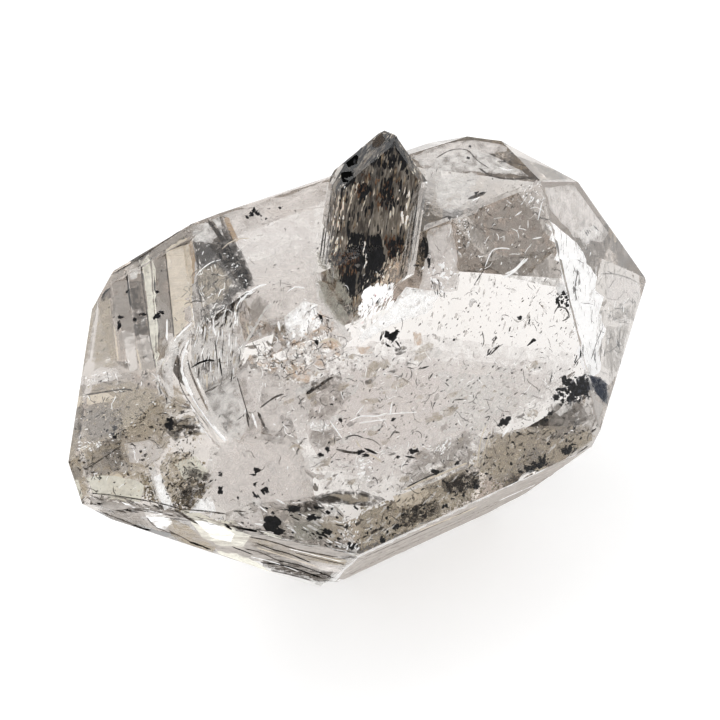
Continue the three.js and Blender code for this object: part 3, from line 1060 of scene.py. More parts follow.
# Films by kind, depth in millimetres or at the surface, and outline in the picture. A film lies
# UNDER_LINES deeper than its depth says.
FILMS = [
    ("cream", 0.4, [(167, 248), (188, 238), (193, 262), (193, 300), (194, 319), (175, 338), (171, 291)]),
    ("gold", 0.5, [(189, 238), (193, 241), (196, 259), (195, 283), (192, 284), (191, 263)]),
    ("ivory", 0.4, [(143, 261), (152, 256), (155, 290), (159, 326), (158, 370), (151, 335), (147, 291)]),
    ("grey", 0.5, [(154, 255), (165, 249), (170, 291), (174, 338), (161, 352), (160, 326), (156, 290)]),
    ("grey", 0.8, [(154, 255), (165, 249), (170, 291), (172, 330), (161, 340), (158, 300)]),
    ("smoke", 0.6, [(130, 283), (141, 281), (146, 310), (150, 338), (137, 340), (133, 305)]),
    ("pale", 0.4, [(130, 272), (138, 268), (139, 278), (131, 281)]),
    ("grey", 0.6, [(138, 341), (150, 337), (156, 369), (143, 372)]),
    ("grey", 0.5, [(111, 277), (126, 270), (130, 292), (134, 320), (138, 350), (122, 352), (113, 310)]),
    ("sand", 0.6, STRIPE),
    ("grey", 0.9, STRIPE),
    ("smoke", 0.3, [(102, 298), (107, 289), (112, 289), (112, 298), (104, 302)]),
    ("smoke", 0.7, [
        (192, 241), (210, 238), (219, 246), (223, 262), (236, 280), (250, 286), (241, 298), (232, 316),
        (203, 308), (197, 290), (198, 262)]),
    ("smoke", 0.5, [(196, 245), (216, 242), (222, 262), (232, 278), (214, 288), (200, 284)]),
    ("smoke", 0.9, [(198, 256), (212, 246), (224, 266), (234, 284), (226, 300), (206, 298)]),
    ("grey", 0.4, [(191, 229), (210, 224), (219, 238), (213, 243), (194, 243)]),
    ("smoke", 0.4, [(192, 228), (208, 218), (222, 236), (216, 244), (200, 246)]),
    ("smoke", 0.3, [(214, 240), (222, 238), (238, 264), (246, 282), (236, 284), (222, 262)]),
    ("pale", 0.4, [(210, 215), (219, 213), (226, 240)]),
    ("smoke", 0.15, [(150, 255), (170, 241), (190, 227), (193, 234), (169, 248), (153, 258)]),
    ("pale", 0.3, [
        (193, 323), (177, 339), (167, 350), (164, 368), (164, 381), (171, 400), (174, 398), (174, 382),
        (174, 367), (180, 350), (190, 334)]),
    ("sand", 0.5, [(170, 384), (180, 386), (187, 402), (181, 408), (171, 404)]),
    ("smoke", 0.4, [(203, 363), (213, 361), (213, 370), (207, 374), (202, 369)]),
    ("pale", 0.4, [(192, 345), (213, 342), (217, 356), (203, 361), (193, 364)]),
    ("pale", 0.6, [(203, 394), (238, 377), (246, 405), (250, 421), (240, 440), (222, 440), (208, 420)]),
    ("pale", 0.9, [(192, 328), (238, 305), (246, 345), (238, 376), (205, 392), (193, 372)]),
    ("blush", 0.8, [
        (206, 478), (212, 447), (222, 443), (250, 430), (285, 438), (307, 449), (312, 470), (315, 498),
        (290, 511), (255, 503), (228, 512), (210, 500)]),
    ("blush", 1.2, [
        (214, 478), (220, 452), (250, 438), (285, 444), (303, 456), (306, 480), (290, 500), (255, 496),
        (228, 504)]),
    ("blush", 0.9, [(247, 372), (262, 366), (300, 384), (312, 402), (304, 446), (262, 432), (249, 408)]),
    ("haze", 2.0, [
        (285, 385), (330, 350), (430, 335), (500, 345), (575, 352), (572, 398), (500, 430), (465, 468),
        (390, 492), (325, 490), (300, 440)]),
    ("haze", 3.5, [
        (290, 400), (340, 372), (420, 356), (520, 366), (560, 380), (500, 425), (440, 462), (380, 480),
        (330, 470), (306, 440)]),
    ("blush", 2.5, [(300, 392), (350, 370), (430, 366), (440, 420), (370, 470), (325, 470), (306, 430)]),
    ("grey", 1.6, [(272, 376), (310, 382), (340, 372), (352, 396), (330, 420), (296, 424), (270, 404)]),
    ("grey", 0.6, [(548, 408), (574, 396), (590, 404), (596, 420), (572, 434), (550, 430)]),
    ("grey", 1.0, [(420, 452), (470, 430), (490, 440), (474, 470), (430, 486), (396, 492)]),
    ("smoke", 0.7, [(160, 424), (196, 414), (205, 430), (176, 442)]),
    ("smoke", 0.2, [(190, 466), (212, 474), (207, 494), (190, 508), (178, 498), (186, 482)]),
    ("dark", SURFACE, [(344, 159), (352, 154), (360, 156), (358, 163), (349, 168)]),
    ("dark", SURFACE, [(342, 173), (353, 171), (354, 179), (344, 182)]),
    ("umber", SURFACE, [(374, 136), (382, 133), (386, 140), (380, 148), (374, 146)]),
    ("pale", 1.5, [(440, 372), (500, 376), (520, 400), (480, 430), (450, 430)]),
    ("slate", SURFACE, [(589, 374), (600, 377), (608, 384), (609, 398), (603, 402), (596, 390)]),
    ("veil", SURFACE, [(590, 390), (600, 396), (606, 404), (600, 428), (594, 410)]),
    ("smoke", 1.0, [(552, 404), (580, 402), (592, 420), (570, 430), (552, 426)]),
    ("pale", 2.5, [(420, 362), (500, 362), (560, 384), (500, 420), (460, 450), (410, 450)]),
    ("blush", 0.7, [(213, 217), (250, 203), (332, 172), (330, 204), (290, 215), (232, 240)]),
    ("blush", 0.8, [
        (236, 266), (318, 242), (317, 272), (326, 300), (354, 338), (344, 346), (300, 318), (262, 322),
        (246, 300)]),
    ("pale", 0.6, [(314, 262), (317, 278), (327, 303), (352, 338), (340, 334), (318, 306)]),
    ("frost", 0.8, [
        (408, 286), (424, 290), (442, 292), (430, 312), (388, 327), (362, 344), (360, 336), (388, 312)]),
    ("green", 0.6, [(317, 276), (328, 284), (338, 298), (350, 318), (346, 326), (336, 320), (320, 296)]),
    ("frost", 0.4, [(284, 318), (306, 300), (322, 306), (318, 330), (292, 342)]),
    ("pale", 0.6, [(436, 176), (478, 172), (474, 206), (452, 214), (438, 206)]),
    ("blush", 0.7, [(236, 372), (252, 364), (262, 400), (262, 436), (240, 442), (240, 408)]),
    ("smoke", 0.5, [(212, 222), (222, 216), (234, 238), (248, 262), (256, 286), (246, 292), (230, 268)]),
    ("smoke", 0.7, [(214, 228), (228, 226), (240, 248), (254, 278), (246, 292), (228, 272), (218, 250)]),
    ("gold", 0.6, [(222, 214), (230, 218), (240, 240), (234, 244)]),
    ("pale", 0.05, [(193, 226), (208, 219), (218, 236), (213, 243), (195, 242)]),
    ("sand", 0.3, [(196, 270), (220, 262), (234, 282), (224, 300), (204, 306)]),
    ("pale", 1.2, [(252, 282), (316, 262), (320, 290), (300, 308), (266, 310)]),
    ("blush", 0.5, [(546, 188), (584, 184), (614, 224), (604, 242), (575, 237), (550, 207)]),
    ("blush", 0.3, [
        (414, 156), (440, 146), (470, 139), (500, 141), (512, 150), (490, 154), (470, 150), (448, 154),
        (430, 166)]),
    ("pale", 0.3, [(414, 158), (440, 150), (470, 146), (500, 158), (530, 176), (480, 172), (430, 172)]),
    ("sand", 1.0, [(90, 385), (130, 380), (165, 395), (180, 425), (160, 460), (100, 470), (80, 450)]),
    ("grey", 1.3, [(86, 375), (130, 372), (165, 390), (180, 425), (160, 460), (100, 485), (78, 460)]),
    ("smoke", 1.6, [(84, 405), (104, 400), (122, 416), (112, 440), (92, 442), (80, 428)]),
    ("grey", 0.8, [(84, 405), (104, 400), (124, 414), (118, 438), (96, 446), (80, 430)]),
    ("cream", 0.7, [(88, 396), (104, 392), (118, 398), (104, 403), (88, 405)]),
    ("blush", 0.7, [(84, 374), (116, 368), (124, 376), (100, 384), (84, 384)]),
    ("sand", 0.5, [(128, 396), (150, 392), (164, 416), (150, 440), (126, 436)]),
    ("blush", 0.6, [(126, 444), (154, 438), (166, 452), (150, 466), (130, 462)]),
    ("sand", 1.0, [(78, 450), (110, 442), (150, 450), (160, 480), (140, 500), (95, 494), (78, 475)]),
    ("haze", 1.2, [(228, 232), (300, 195), (325, 200), (316, 290), (262, 318), (240, 290)]),
    ("grey", 0.4, [(259, 294), (271, 305), (256, 328), (250, 319), (252, 304)]),
    ("peach", 0.6, [(290, 362), (300, 360), (313, 372), (311, 384), (296, 380)]),
    ("blush", 0.5, [(274, 369), (284, 365), (290, 372), (287, 380), (277, 379)]),
    ("peach", 0.5, [(322, 342), (332, 339), (341, 345), (340, 351), (330, 349)]),
    ("peach", 0.5, [(357, 347), (370, 346), (374, 353), (361, 355)]),
    ("peach", 0.5, [(414, 332), (422, 333), (424, 343), (416, 346)]),
    ("pale", 0.4, [(307, 423), (316, 419), (328, 421), (332, 429), (322, 432), (310, 428)]),
    ("grey", 0.7, [(310, 429), (335, 427), (342, 438), (328, 447), (317, 449), (310, 442)]),
    # Painted shade: this grey film darkens the trapezoid, where the shaded floor under the crystal shows
    # through
    ("grey", 0.6, [
        (511, 198), (537, 189), (545, 207), (555, 250), (561, 287), (533, 282), (506, 276), (486, 264),
        (466, 252), (459, 224), (471, 215)]),
    ("blush", 0.6, [(428, 231), (452, 223), (458, 255), (458, 285), (438, 292), (424, 288)]),
    ("blush", 1.0, [(426, 262), (456, 250), (460, 280), (458, 290), (430, 296), (420, 290)]),
    ("smoke", 0.7, [(426, 233), (431, 246), (431, 260), (425, 263), (419, 257), (419, 246)]),
    # Painted highlight: this film is the bright band where light comes through the right-hand faces
    ("glowing_white", 0.5, [
        (552, 222), (566, 233), (576, 241), (584, 252), (588, 263), (598, 277), (596, 291), (604, 297),
        (600, 312), (606, 330), (600, 350), (602, 370), (592, 378), (578, 340), (568, 300), (560, 262)]),
    ("blush", 0.4, [(604, 275), (628, 277), (642, 288), (637, 302), (610, 305)]),
    ("grey", 0.4, [(612, 307), (637, 304), (633, 321), (614, 322)]),
    ("grey", 0.5, [(607, 326), (630, 326), (618, 380), (604, 366)]),
    ("pale", 0.3, [(577, 231), (596, 224), (602, 234), (585, 246)]),
    ("grey", 0.4, [(592, 394), (605, 394), (605, 411), (599, 429), (594, 408)]),
    ("slate", 0.1, [(590, 376), (606, 380), (610, 400), (604, 410), (596, 396)]),
    ("dark", 0.3, [(591, 376), (600, 379), (605, 392), (599, 397), (594, 386)]),
    ("slate", 0.3, [(592, 378), (608, 384), (607, 406), (601, 399), (594, 389)]),
    ("pale", 0.5, [(557, 412), (566, 402), (574, 398), (572, 408), (562, 416)]),
    ("tan", 0.9, [
        (391, 504), (430, 483), (465, 469), (479, 481), (471, 498), (425, 524), (360, 548), (347, 523),
        (370, 510)]),
    ("smoke", 0.5, [(399, 512), (420, 504), (440, 500), (440, 514), (420, 522), (402, 528)]),
    ("smoke", 0.5, [(442, 480), (470, 470), (480, 472), (480, 488), (462, 494), (444, 492)]),
    ("cream", 0.6, [(394, 497), (420, 488), (430, 492), (420, 503), (398, 508)]),
    ("sand", 0.3, [(474, 466), (492, 438), (530, 426), (566, 426), (540, 440), (500, 480)]),
    ("sand", 0.3, [(540, 444), (590, 430), (594, 440), (560, 462), (540, 466)]),
    ("grey", 0.7, [
        (477, 466), (489, 433), (534, 428), (592, 424), (597, 435), (588, 449), (563, 460), (537, 468),
        (500, 481), (481, 482)]),
    ("sand", 0.9, [
        (479, 464), (491, 435), (534, 430), (590, 426), (594, 435), (563, 458), (537, 466), (500, 479)]),
    ("smoke", 0.3, [(308, 497), (330, 491), (360, 490), (386, 499), (372, 507), (340, 504), (318, 503)]),
    ("smoke", 0.4, [(312, 499), (332, 493), (360, 492), (380, 499), (366, 506), (336, 503)]),
    ("sand", 0.2, [(330, 494), (356, 494), (378, 500), (352, 503)]),
    ("grey", 0.5, [(82, 415), (100, 408), (112, 408), (116, 426), (98, 441), (82, 431)]),
    ("grey", 0.6, [(80, 465), (100, 450), (124, 446), (135, 455), (134, 470), (104, 478), (82, 478)]),
    ("smoke", 0.9, [(103, 451), (122, 447), (126, 463), (112, 470)]),
    ("cream", 0.8, [(106, 474), (119, 472), (132, 484), (134, 493), (112, 490)]),
    ("pale", 0.3, [(149, 467), (156, 467), (167, 500), (156, 499)]),
    ("tan", 0.8, TAN_PATCH),
    ("smoke", 0.5, [(158, 422), (193, 416), (196, 428), (175, 434)]),
    ("ivory", 0.3, [(176, 464), (196, 456), (209, 470), (205, 480), (186, 480)]),
    ("ivory", 0.3, [(88, 477), (110, 475), (136, 480), (146, 486), (142, 502), (118, 498), (94, 493)]),
    ("frost", 0.1, [(190, 512), (200, 499), (212, 496), (217, 512)]),
    ("frost", 0.1, [(155, 476), (161, 474), (174, 506), (166, 510), (160, 498)]),
    ("ivory", 0.4, [(182, 510), (200, 511), (236, 531), (222, 533), (200, 524)]),
    ("pale", 0.4, [(207, 539), (228, 545), (258, 558), (240, 555), (216, 547)]),
    ("grey", 0.3, [(93, 495), (122, 499), (142, 506), (142, 514), (118, 508), (98, 500)]),
    ("grey", 0.3, [(138, 504), (150, 506), (204, 536), (186, 532), (160, 520)]),
    ("grey", 0.6, [
        (227, 513), (252, 503), (300, 500), (330, 500), (352, 520), (356, 560), (325, 586), (264, 561),
        (224, 540)]),
    ("green", 0.6, [(288, 512), (322, 508), (332, 524), (324, 540), (296, 540)]),
    ("smoke", 0.4, [(284, 506), (318, 500), (326, 508), (300, 514)]),
    ("sand", 0.5, [(318, 518), (344, 514), (352, 536), (330, 544)]),
    ("blush", 0.4, [(236, 518), (262, 510), (268, 530), (240, 528)]),
    ("veil", SURFACE, RIGHT_FACET),
    ("veil", SURFACE, LEFT_FACET),
    ("grey", SURFACE, [(97, 505), (139, 509), (150, 526), (142, 528), (115, 520), (103, 514)]),
    ("frost", SURFACE, [(142, 509), (169, 514), (174, 523), (166, 529), (157, 526), (148, 517)]),
    ("sand", SURFACE, [(169, 518), (190, 526), (217, 547), (214, 553), (190, 547), (172, 535)]),
    ("ivory", SURFACE, [
        (188, 516), (211, 520), (238, 530), (252, 535), (243, 548), (226, 547), (205, 538), (196, 528)]),
    ("glowing_white", SURFACE, [(196, 520), (214, 523), (236, 533), (232, 542), (212, 537)]),
    ("ivory", SURFACE, [(217, 551), (238, 553), (262, 564), (282, 578), (262, 574), (238, 565)]),
    ("sand", SURFACE, [(250, 536), (300, 548), (348, 560), (344, 566), (296, 558), (252, 548)]),
    ("smoke", SURFACE, [(262, 556), (300, 562), (334, 572), (326, 582), (290, 574), (264, 566)]),
    ("smoke", SURFACE, [(250, 542), (276, 546), (300, 556), (280, 560), (254, 552)]),
    ("blush", SURFACE, [(300, 560), (346, 566), (340, 574), (310, 572)]),
    ("grey", SURFACE, [
        (110, 277), (152, 251), (191, 226), (210, 215), (213, 220), (194, 231), (155, 257), (113, 283)]),
    ("blush", SURFACE, [(212, 213), (250, 199), (300, 181), (334, 169), (335, 176), (300, 188), (252, 207)]),
]
# Kinds whose films are two sheets, the lower one smaller, so that they thin out towards their rims
SOFT = (
    "haze", "blush", "pale", "peach", "sand", "grey", "smoke", "green", "slate", "frost", "veil",
)
SHEETS = (1.0, 0.82)
SHEET_GAP = 0.06  # millimetres
UNDER_LINES = 0.5
RIM_STEP = 5  # pixels
RIM_JITTER = 0.9

# Lines by kind, width in pixels, depth in millimetres and places in the picture
LINES = [
    ("dark", 2, 0.3, [(127, 270), (129, 284), (130, 295), (132, 307)]),
    ("cream", 2, 0.3, [(134, 321), (136, 340), (140, 359), (142, 370)]),
    ("cream", 2, 0.3, [(115, 326), (118, 349), (119, 361)]),
    ("umber", 1.4, 0.3, [(142, 261), (144, 287), (149, 319), (151, 338), (157, 368)]),
    ("umber", 1.4, 0.3, [(166, 249), (170, 287), (174, 326), (175, 338)]),
    ("glowing_white", 1.5, 0.3, [(168, 319), (168, 340)]),
    ("pale", 2, 0.2, [(90, 383), (98, 380), (112, 374)]),
    ("dark", 2.5, 0.2, [(103, 298), (107, 291), (111, 288)]),
    ("umber", 2, 0.2, [(111, 277), (125, 268), (139, 260), (152, 252)]),
    ("umber", 1.8, 0.2, [(153, 252), (170, 241), (191, 227), (209, 216)]),
    ("umber", 1.4, 0.2, [(212, 214), (250, 200), (300, 182), (335, 170)]),
    # The brightest lines here are painted highlights along the shell fracture's rim
    ("glowing_white", 2.2, 0.2, [
        (190, 340), (185, 352), (183, 367), (186, 382), (194, 398), (204, 414), (216, 430), (227, 442)]),
    ("umber", 1.2, 0.2, [
        (186, 344), (181, 356), (179, 370), (181, 384), (188, 398), (198, 412), (210, 427)]),
    ("pale", 4, 0.3, [(188, 352), (187, 368), (191, 385), (199, 402), (210, 419), (222, 436)]),
    ("glowing_white", 4, 0.3, [(184, 376), (188, 386), (194, 395)]),
    ("glowing_white", 3, 0.3, [(214, 425), (220, 434), (227, 441)]),
    ("umber", 1.4, 0.3, [(355, 561), (400, 541), (440, 524), (480, 506), (530, 480), (590, 448)]),
    ("umber", 1.3, 0.3, [(352, 582), (400, 562), (450, 538), (500, 512), (560, 478), (592, 456)]),
    ("glowing_white", 2, 0.3, [(496, 510), (520, 498), (536, 488)]),
    ("umber", 2, 0.3, [(420, 240), (421, 250), (424, 262)]),
    ("dark", 1.5, 0.3, [(427, 236), (429, 248), (427, 258)]),
    ("glowing_white", 2, 0.3, [(500, 167), (508, 170), (514, 169)]),
    ("umber", 1.5, 0.3, [(437, 158), (452, 150), (468, 150), (478, 160), (490, 168)]),
    ("glowing_white", 2.2, 0.3, [(242, 302), (248, 294), (258, 287), (268, 284)]),
    ("glowing_white", 1.5, 0.3, [(236, 318), (238, 306), (244, 297)]),
    ("glowing_white", 1.4, 0.3, [(288, 292), (296, 287), (306, 288)]),
    ("umber", 2, 0.3, [(86, 395), (98, 393), (126, 389), (134, 391)]),
    ("glowing_white", 1.4, 0.4, [(197, 276), (203, 269), (213, 262), (221, 260)]),
    ("cream", 1.5, 0.3, [(223, 249), (230, 243), (240, 239), (251, 238)]),
    ("glowing_white", 1.2, 0.4, [(219, 297), (222, 290), (226, 288)]),
    ("umber", 4, 0.3, [(209, 220), (217, 231), (224, 243)]),
    ("dark", 3, 0.4, [(220, 252), (223, 260)]),
    ("dark", 3, 0.4, [(224, 264), (231, 261), (236, 262)]),
    ("dark", 3, 0.4, [(243, 281), (248, 284), (252, 286)]),
    ("umber", 2, 0.4, [(165, 386), (168, 395), (172, 402)]),
    ("dark", 1.6, 0.4, [(220, 357), (223, 376)]),
    ("cream", 2, 0.4, [(208, 373), (208, 389)]),
    ("glowing_white", 3, 0.3, [(198, 378), (201, 388)]),
    ("umber", 1.3, 0.3, [(212, 311), (213, 326)]),
    ("umber", 1.3, 0.3, [(216, 340), (219, 368)]),
    ("dark", 2, 0.3, [(192, 368), (200, 363), (210, 360), (216, 361)]),
    ("grey", 2, 0.3, [(248, 363), (238, 373), (224, 380), (205, 389)]),
    ("cream", 2, 0.3, [(247, 323), (250, 335)]),
    ("pale", 2.5, 0.3, [(243, 349), (254, 331), (266, 310), (274, 303)]),
    ("glowing_white", 2.5, 0.3, [(279, 321), (281, 331)]),
    ("umber", 1.3, 0.3, [(238, 377), (247, 408), (251, 420)]),
    ("umber", 2, 0.5, [(261, 408), (270, 401), (278, 396), (285, 394)]),
    ("umber", 3.5, 0.5, [(307, 394), (320, 386), (328, 380), (334, 377)]),
    ("dark", 2, 0.5, [(306, 389), (310, 394)]),
    ("umber", 1.5, 0.5, [(300, 402), (306, 397)]),
    ("umber", 2, 0.4, [(247, 410), (250, 427)]),
    ("glowing_white", 2, 0.4, [(253, 413), (258, 428)]),
    ("umber", 3, 0.4, [(259, 412), (266, 428)]),
    ("umber", 1.5, 0.4, [(237, 421), (245, 415)]),
    ("tan", 3, 0.5, [(290, 449), (297, 445), (305, 450)]),
    ("glowing_white", 1.5, 0.4, [(331, 421), (343, 438)]),
    ("glowing_white", 1.3, 0.4, [(357, 415), (365, 405)]),
    ("glowing_white", 1.5, 0.4, [(391, 415), (393, 402)]),
    ("glowing_white", 1.4, 0.4, [(351, 421), (362, 416), (377, 416), (388, 413)]),
    ("glowing_white", 1.2, 0.4, [(388, 414), (403, 413), (418, 412)]),
    ("glowing_white", 1.2, 0.5, [(360, 423), (374, 421), (388, 419)]),
    ("glowing_white", 2, 0.2, [(194, 322), (183, 332), (175, 341)]),
    ("glowing_white", 2, 0.3, [(200, 325), (202, 334)]),
    ("glowing_white", 2.5, 0.3, [(214, 326), (217, 336)]),
    ("dark", 1.4, 0.5, [(346, 438), (355, 435), (365, 438)]),
    ("umber", 1.2, 0.5, [(365, 438), (374, 440), (382, 446)]),
    ("umber", 1.5, 0.5, [(337, 441), (343, 438)]),
    ("umber", 3, 0.5, [(337, 449), (349, 452), (362, 453)]),
    ("dark", 2.5, 0.5, [(365, 448), (374, 452), (378, 454)]),
    ("cream", 2, 0.4, [(368, 453), (376, 457), (383, 462)]),
    ("cream", 2, 0.4, [(357, 440), (359, 444), (362, 448)]),
    ("pale", 2, 0.4, [(343, 464), (352, 466), (360, 468)]),
    ("umber", 1.8, 0.5, [(391, 438), (395, 432), (401, 433)]),
    ("dark", 3.5, 0.5, [(394, 421), (397, 418)]),
    ("dark", 2, 0.5, [(406, 456), (417, 458)]),
    ("dark", 4, 0.5, [(411, 451), (420, 451)]),
    ("cream", 2.5, 0.4, [(405, 490), (421, 482), (444, 473), (468, 463)]),
    ("dark", 1.4, 0.4, [(408, 487), (428, 477), (446, 470)]),
    ("umber", 1.3, 0.5, [(403, 378), (407, 381), (411, 382)]),
    ("dark", 2, 0.5, [(430, 379), (434, 373)]),
    ("dark", 2, 0.5, [(421, 369), (430, 366)]),
    ("dark", 1.5, 0.5, [(408, 367), (415, 369)]),
    ("umber", 1.5, 0.5, [(455, 400), (467, 399)]),
    ("dark", 3, 0.4, [(381, 341), (383, 334)]),
    ("dark", 3.5, 0.4, [(388, 339), (394, 335), (398, 331), (401, 332)]),
    ("dark", 3, 0.4, [(397, 341), (401, 347)]),
    ("dark", 2.5, 0.4, [(386, 344), (392, 347)]),
    ("dark", 3.5, 0.4, [(318, 313), (322, 317), (323, 323)]),
    ("cream", 3, 0.4, [(320, 343), (330, 339), (337, 341), (343, 347)]),
    ("dark", 2.5, 0.4, [(424, 237), (428, 248), (427, 259)]),
    ("umber", 4, 0.3, [(469, 199), (477, 196), (487, 192)]),
    ("dark", 3, 0.2, [(479, 194), (486, 192)]),
    ("glowing_white", 3, 0.2, [(473, 201), (481, 197)]),
    ("umber", 1.5, 0.3, [(498, 161), (516, 163), (527, 166)]),
    ("pale", 2.5, 0.3, [(499, 170), (510, 171), (516, 170)]),
    ("umber", 2.5, 0.3, [(480, 168), (493, 176), (513, 179), (537, 177)]),
    ("glowing_white", 2.5, 0.3, [(503, 278), (513, 273), (523, 264), (529, 258)]),
    ("glowing_white", 1.8, 0.3, [(506, 274), (516, 269), (526, 258)]),
    ("glowing_white", 1.5, 0.3, [(486, 267), (493, 251), (503, 248), (511, 249)]),
    ("glowing_white", 1.5, 0.3, [(501, 238), (505, 236), (505, 241)]),
    ("glowing_white", 1.5, 0.3, [(533, 239), (543, 237)]),
    ("glowing_white", 1.5, 0.3, [(529, 220), (529, 228)]),
    ("glowing_white", 1.5, 0.3, [(539, 220), (543, 202)]),
    ("pale", 1.5, 0.3, [(494, 219), (504, 217)]),
    ("glowing_white", 2, 0.3, [(516, 216), (523, 211)]),
    ("umber", 1.5, 0.3, [(475, 285), (486, 268)]),
    ("umber", 2, 0.4, [(555, 314), (559, 307), (567, 309), (570, 317), (563, 321)]),
    ("umber", 2.5, 0.3, [(579, 271), (576, 287), (578, 301)]),
    ("umber", 2, 0.3, [(604, 327), (597, 344), (592, 360)]),
    ("umber", 1.6, 0.3, [(603, 337), (601, 362)]),
    ("dark", 1.6, 0.3, [(621, 327), (620, 349)]),
    ("pale", 2, 0.3, [(612, 322), (623, 319), (634, 321)]),
    ("umber", 1.2, 0.3, [(602, 274), (616, 274), (632, 279), (640, 284)]),
    ("grey", 2.5, 0.3, [(576, 236), (576, 243), (584, 248), (591, 243)]),
    ("dark", 2, 0.3, [(594, 225), (600, 231)]),
    ("grey", 2, 0.4, [(513, 317), (519, 322), (529, 317), (531, 327)]),
    ("umber", 2.5, 0.4, [(491, 355), (499, 347), (504, 344)]),
    ("umber", 2, 0.4, [(493, 344), (498, 337)]),
    ("dark", 3, 0.4, [(528, 346), (536, 339)]),
    ("pale", 2, 0.4, [(516, 364), (526, 349)]),
    ("umber", 1.3, 0.4, [(483, 331), (485, 341), (483, 347)]),
    ("cream", 1.5, 0.4, [(478, 466), (482, 439), (488, 424)]),
    ("cream", 1.3, 0.4, [(483, 466), (487, 445), (492, 430)]),
    ("glowing_white", 2.5, 0.4, [(503, 437), (511, 425)]),
    ("pale", 2, 0.3, [(528, 483), (549, 473), (566, 464)]),
    ("pale", 2.5, 0.3, [(469, 523), (500, 508), (532, 496)]),
    ("glowing_white", 4, 0.3, [(487, 511), (492, 509)]),
    ("tan", 1.5, 0.3, [(370, 561), (416, 548), (448, 536)]),
    ("umber", 1.5, 0.3, [(92, 493), (120, 496), (160, 503), (182, 509)]),
    ("glowing_white", 1.5, 0.3, [(150, 514), (160, 524)]),
    ("umber", 1.5, 0.3, [(182, 509), (206, 511), (228, 514)]),
    ("umber", 1.6, 0.3, [(85, 470), (104, 458), (122, 446)]),
    ("dark", 2.2, SURFACE, [(257, 542), (272, 548), (290, 553), (312, 562)]),
    ("dark", 2.6, SURFACE, [(262, 562), (282, 564), (300, 569), (322, 577)]),
    ("dark", 1.8, SURFACE, [(280, 560), (302, 565), (326, 574), (334, 577)]),
    ("umber", 2.4, SURFACE, [(250, 536), (270, 540), (300, 549), (336, 556)]),
    ("umber", 2.2, SURFACE, [(246, 548), (262, 552), (284, 562)]),
    ("umber", 1.8, SURFACE, [(296, 552), (320, 558), (346, 564)]),
    ("umber", 1.6, SURFACE, [(272, 570), (290, 574), (312, 580)]),
    ("cream", 2.2, SURFACE, [(258, 547), (284, 555), (318, 566)]),
    ("glowing_white", 1.6, SURFACE, [(252, 556), (276, 562), (300, 571)]),
    ("glowing_white", 1.4, SURFACE, [(290, 548), (318, 555), (342, 561)]),
    ("dark", 1.8, SURFACE, [(98, 503), (120, 508), (140, 512)]),
    ("dark", 2.2, SURFACE, [(132, 523), (144, 528), (152, 530)]),
    ("umber", 1.6, SURFACE, [(104, 512), (122, 519), (144, 528)]),
    ("dark", 3.0, SURFACE, [(190, 541), (200, 544), (212, 549)]),
    ("umber", 2.0, SURFACE, [(170, 530), (186, 538), (200, 546)]),
    ("umber", 1.4, SURFACE, [(148, 517), (158, 527), (176, 534)]),
    ("dark", 1.8, SURFACE, [(233, 546), (244, 550), (254, 554)]),
    ("grey", 2.4, SURFACE, [(362, 560), (410, 540), (470, 514), (530, 486), (576, 462)]),
    ("grey", 3.0, SURFACE, [(350, 574), (392, 552), (440, 530), (500, 502)]),
    ("umber", 1.2, SURFACE, [(366, 556), (420, 532), (470, 509)]),
    ("cream", 2.4, SURFACE, [(420, 530), (450, 518), (478, 506)]),
    ("glowing_white", 1.8, SURFACE, [(500, 500), (520, 491), (536, 484)]),
    ("umber", 1.2, SURFACE, [(112, 275), (136, 261), (160, 245), (190, 225)]),
    ("umber", 1.8, SURFACE, [(190, 226), (210, 215), (250, 199), (290, 185), (333, 168)]),
]

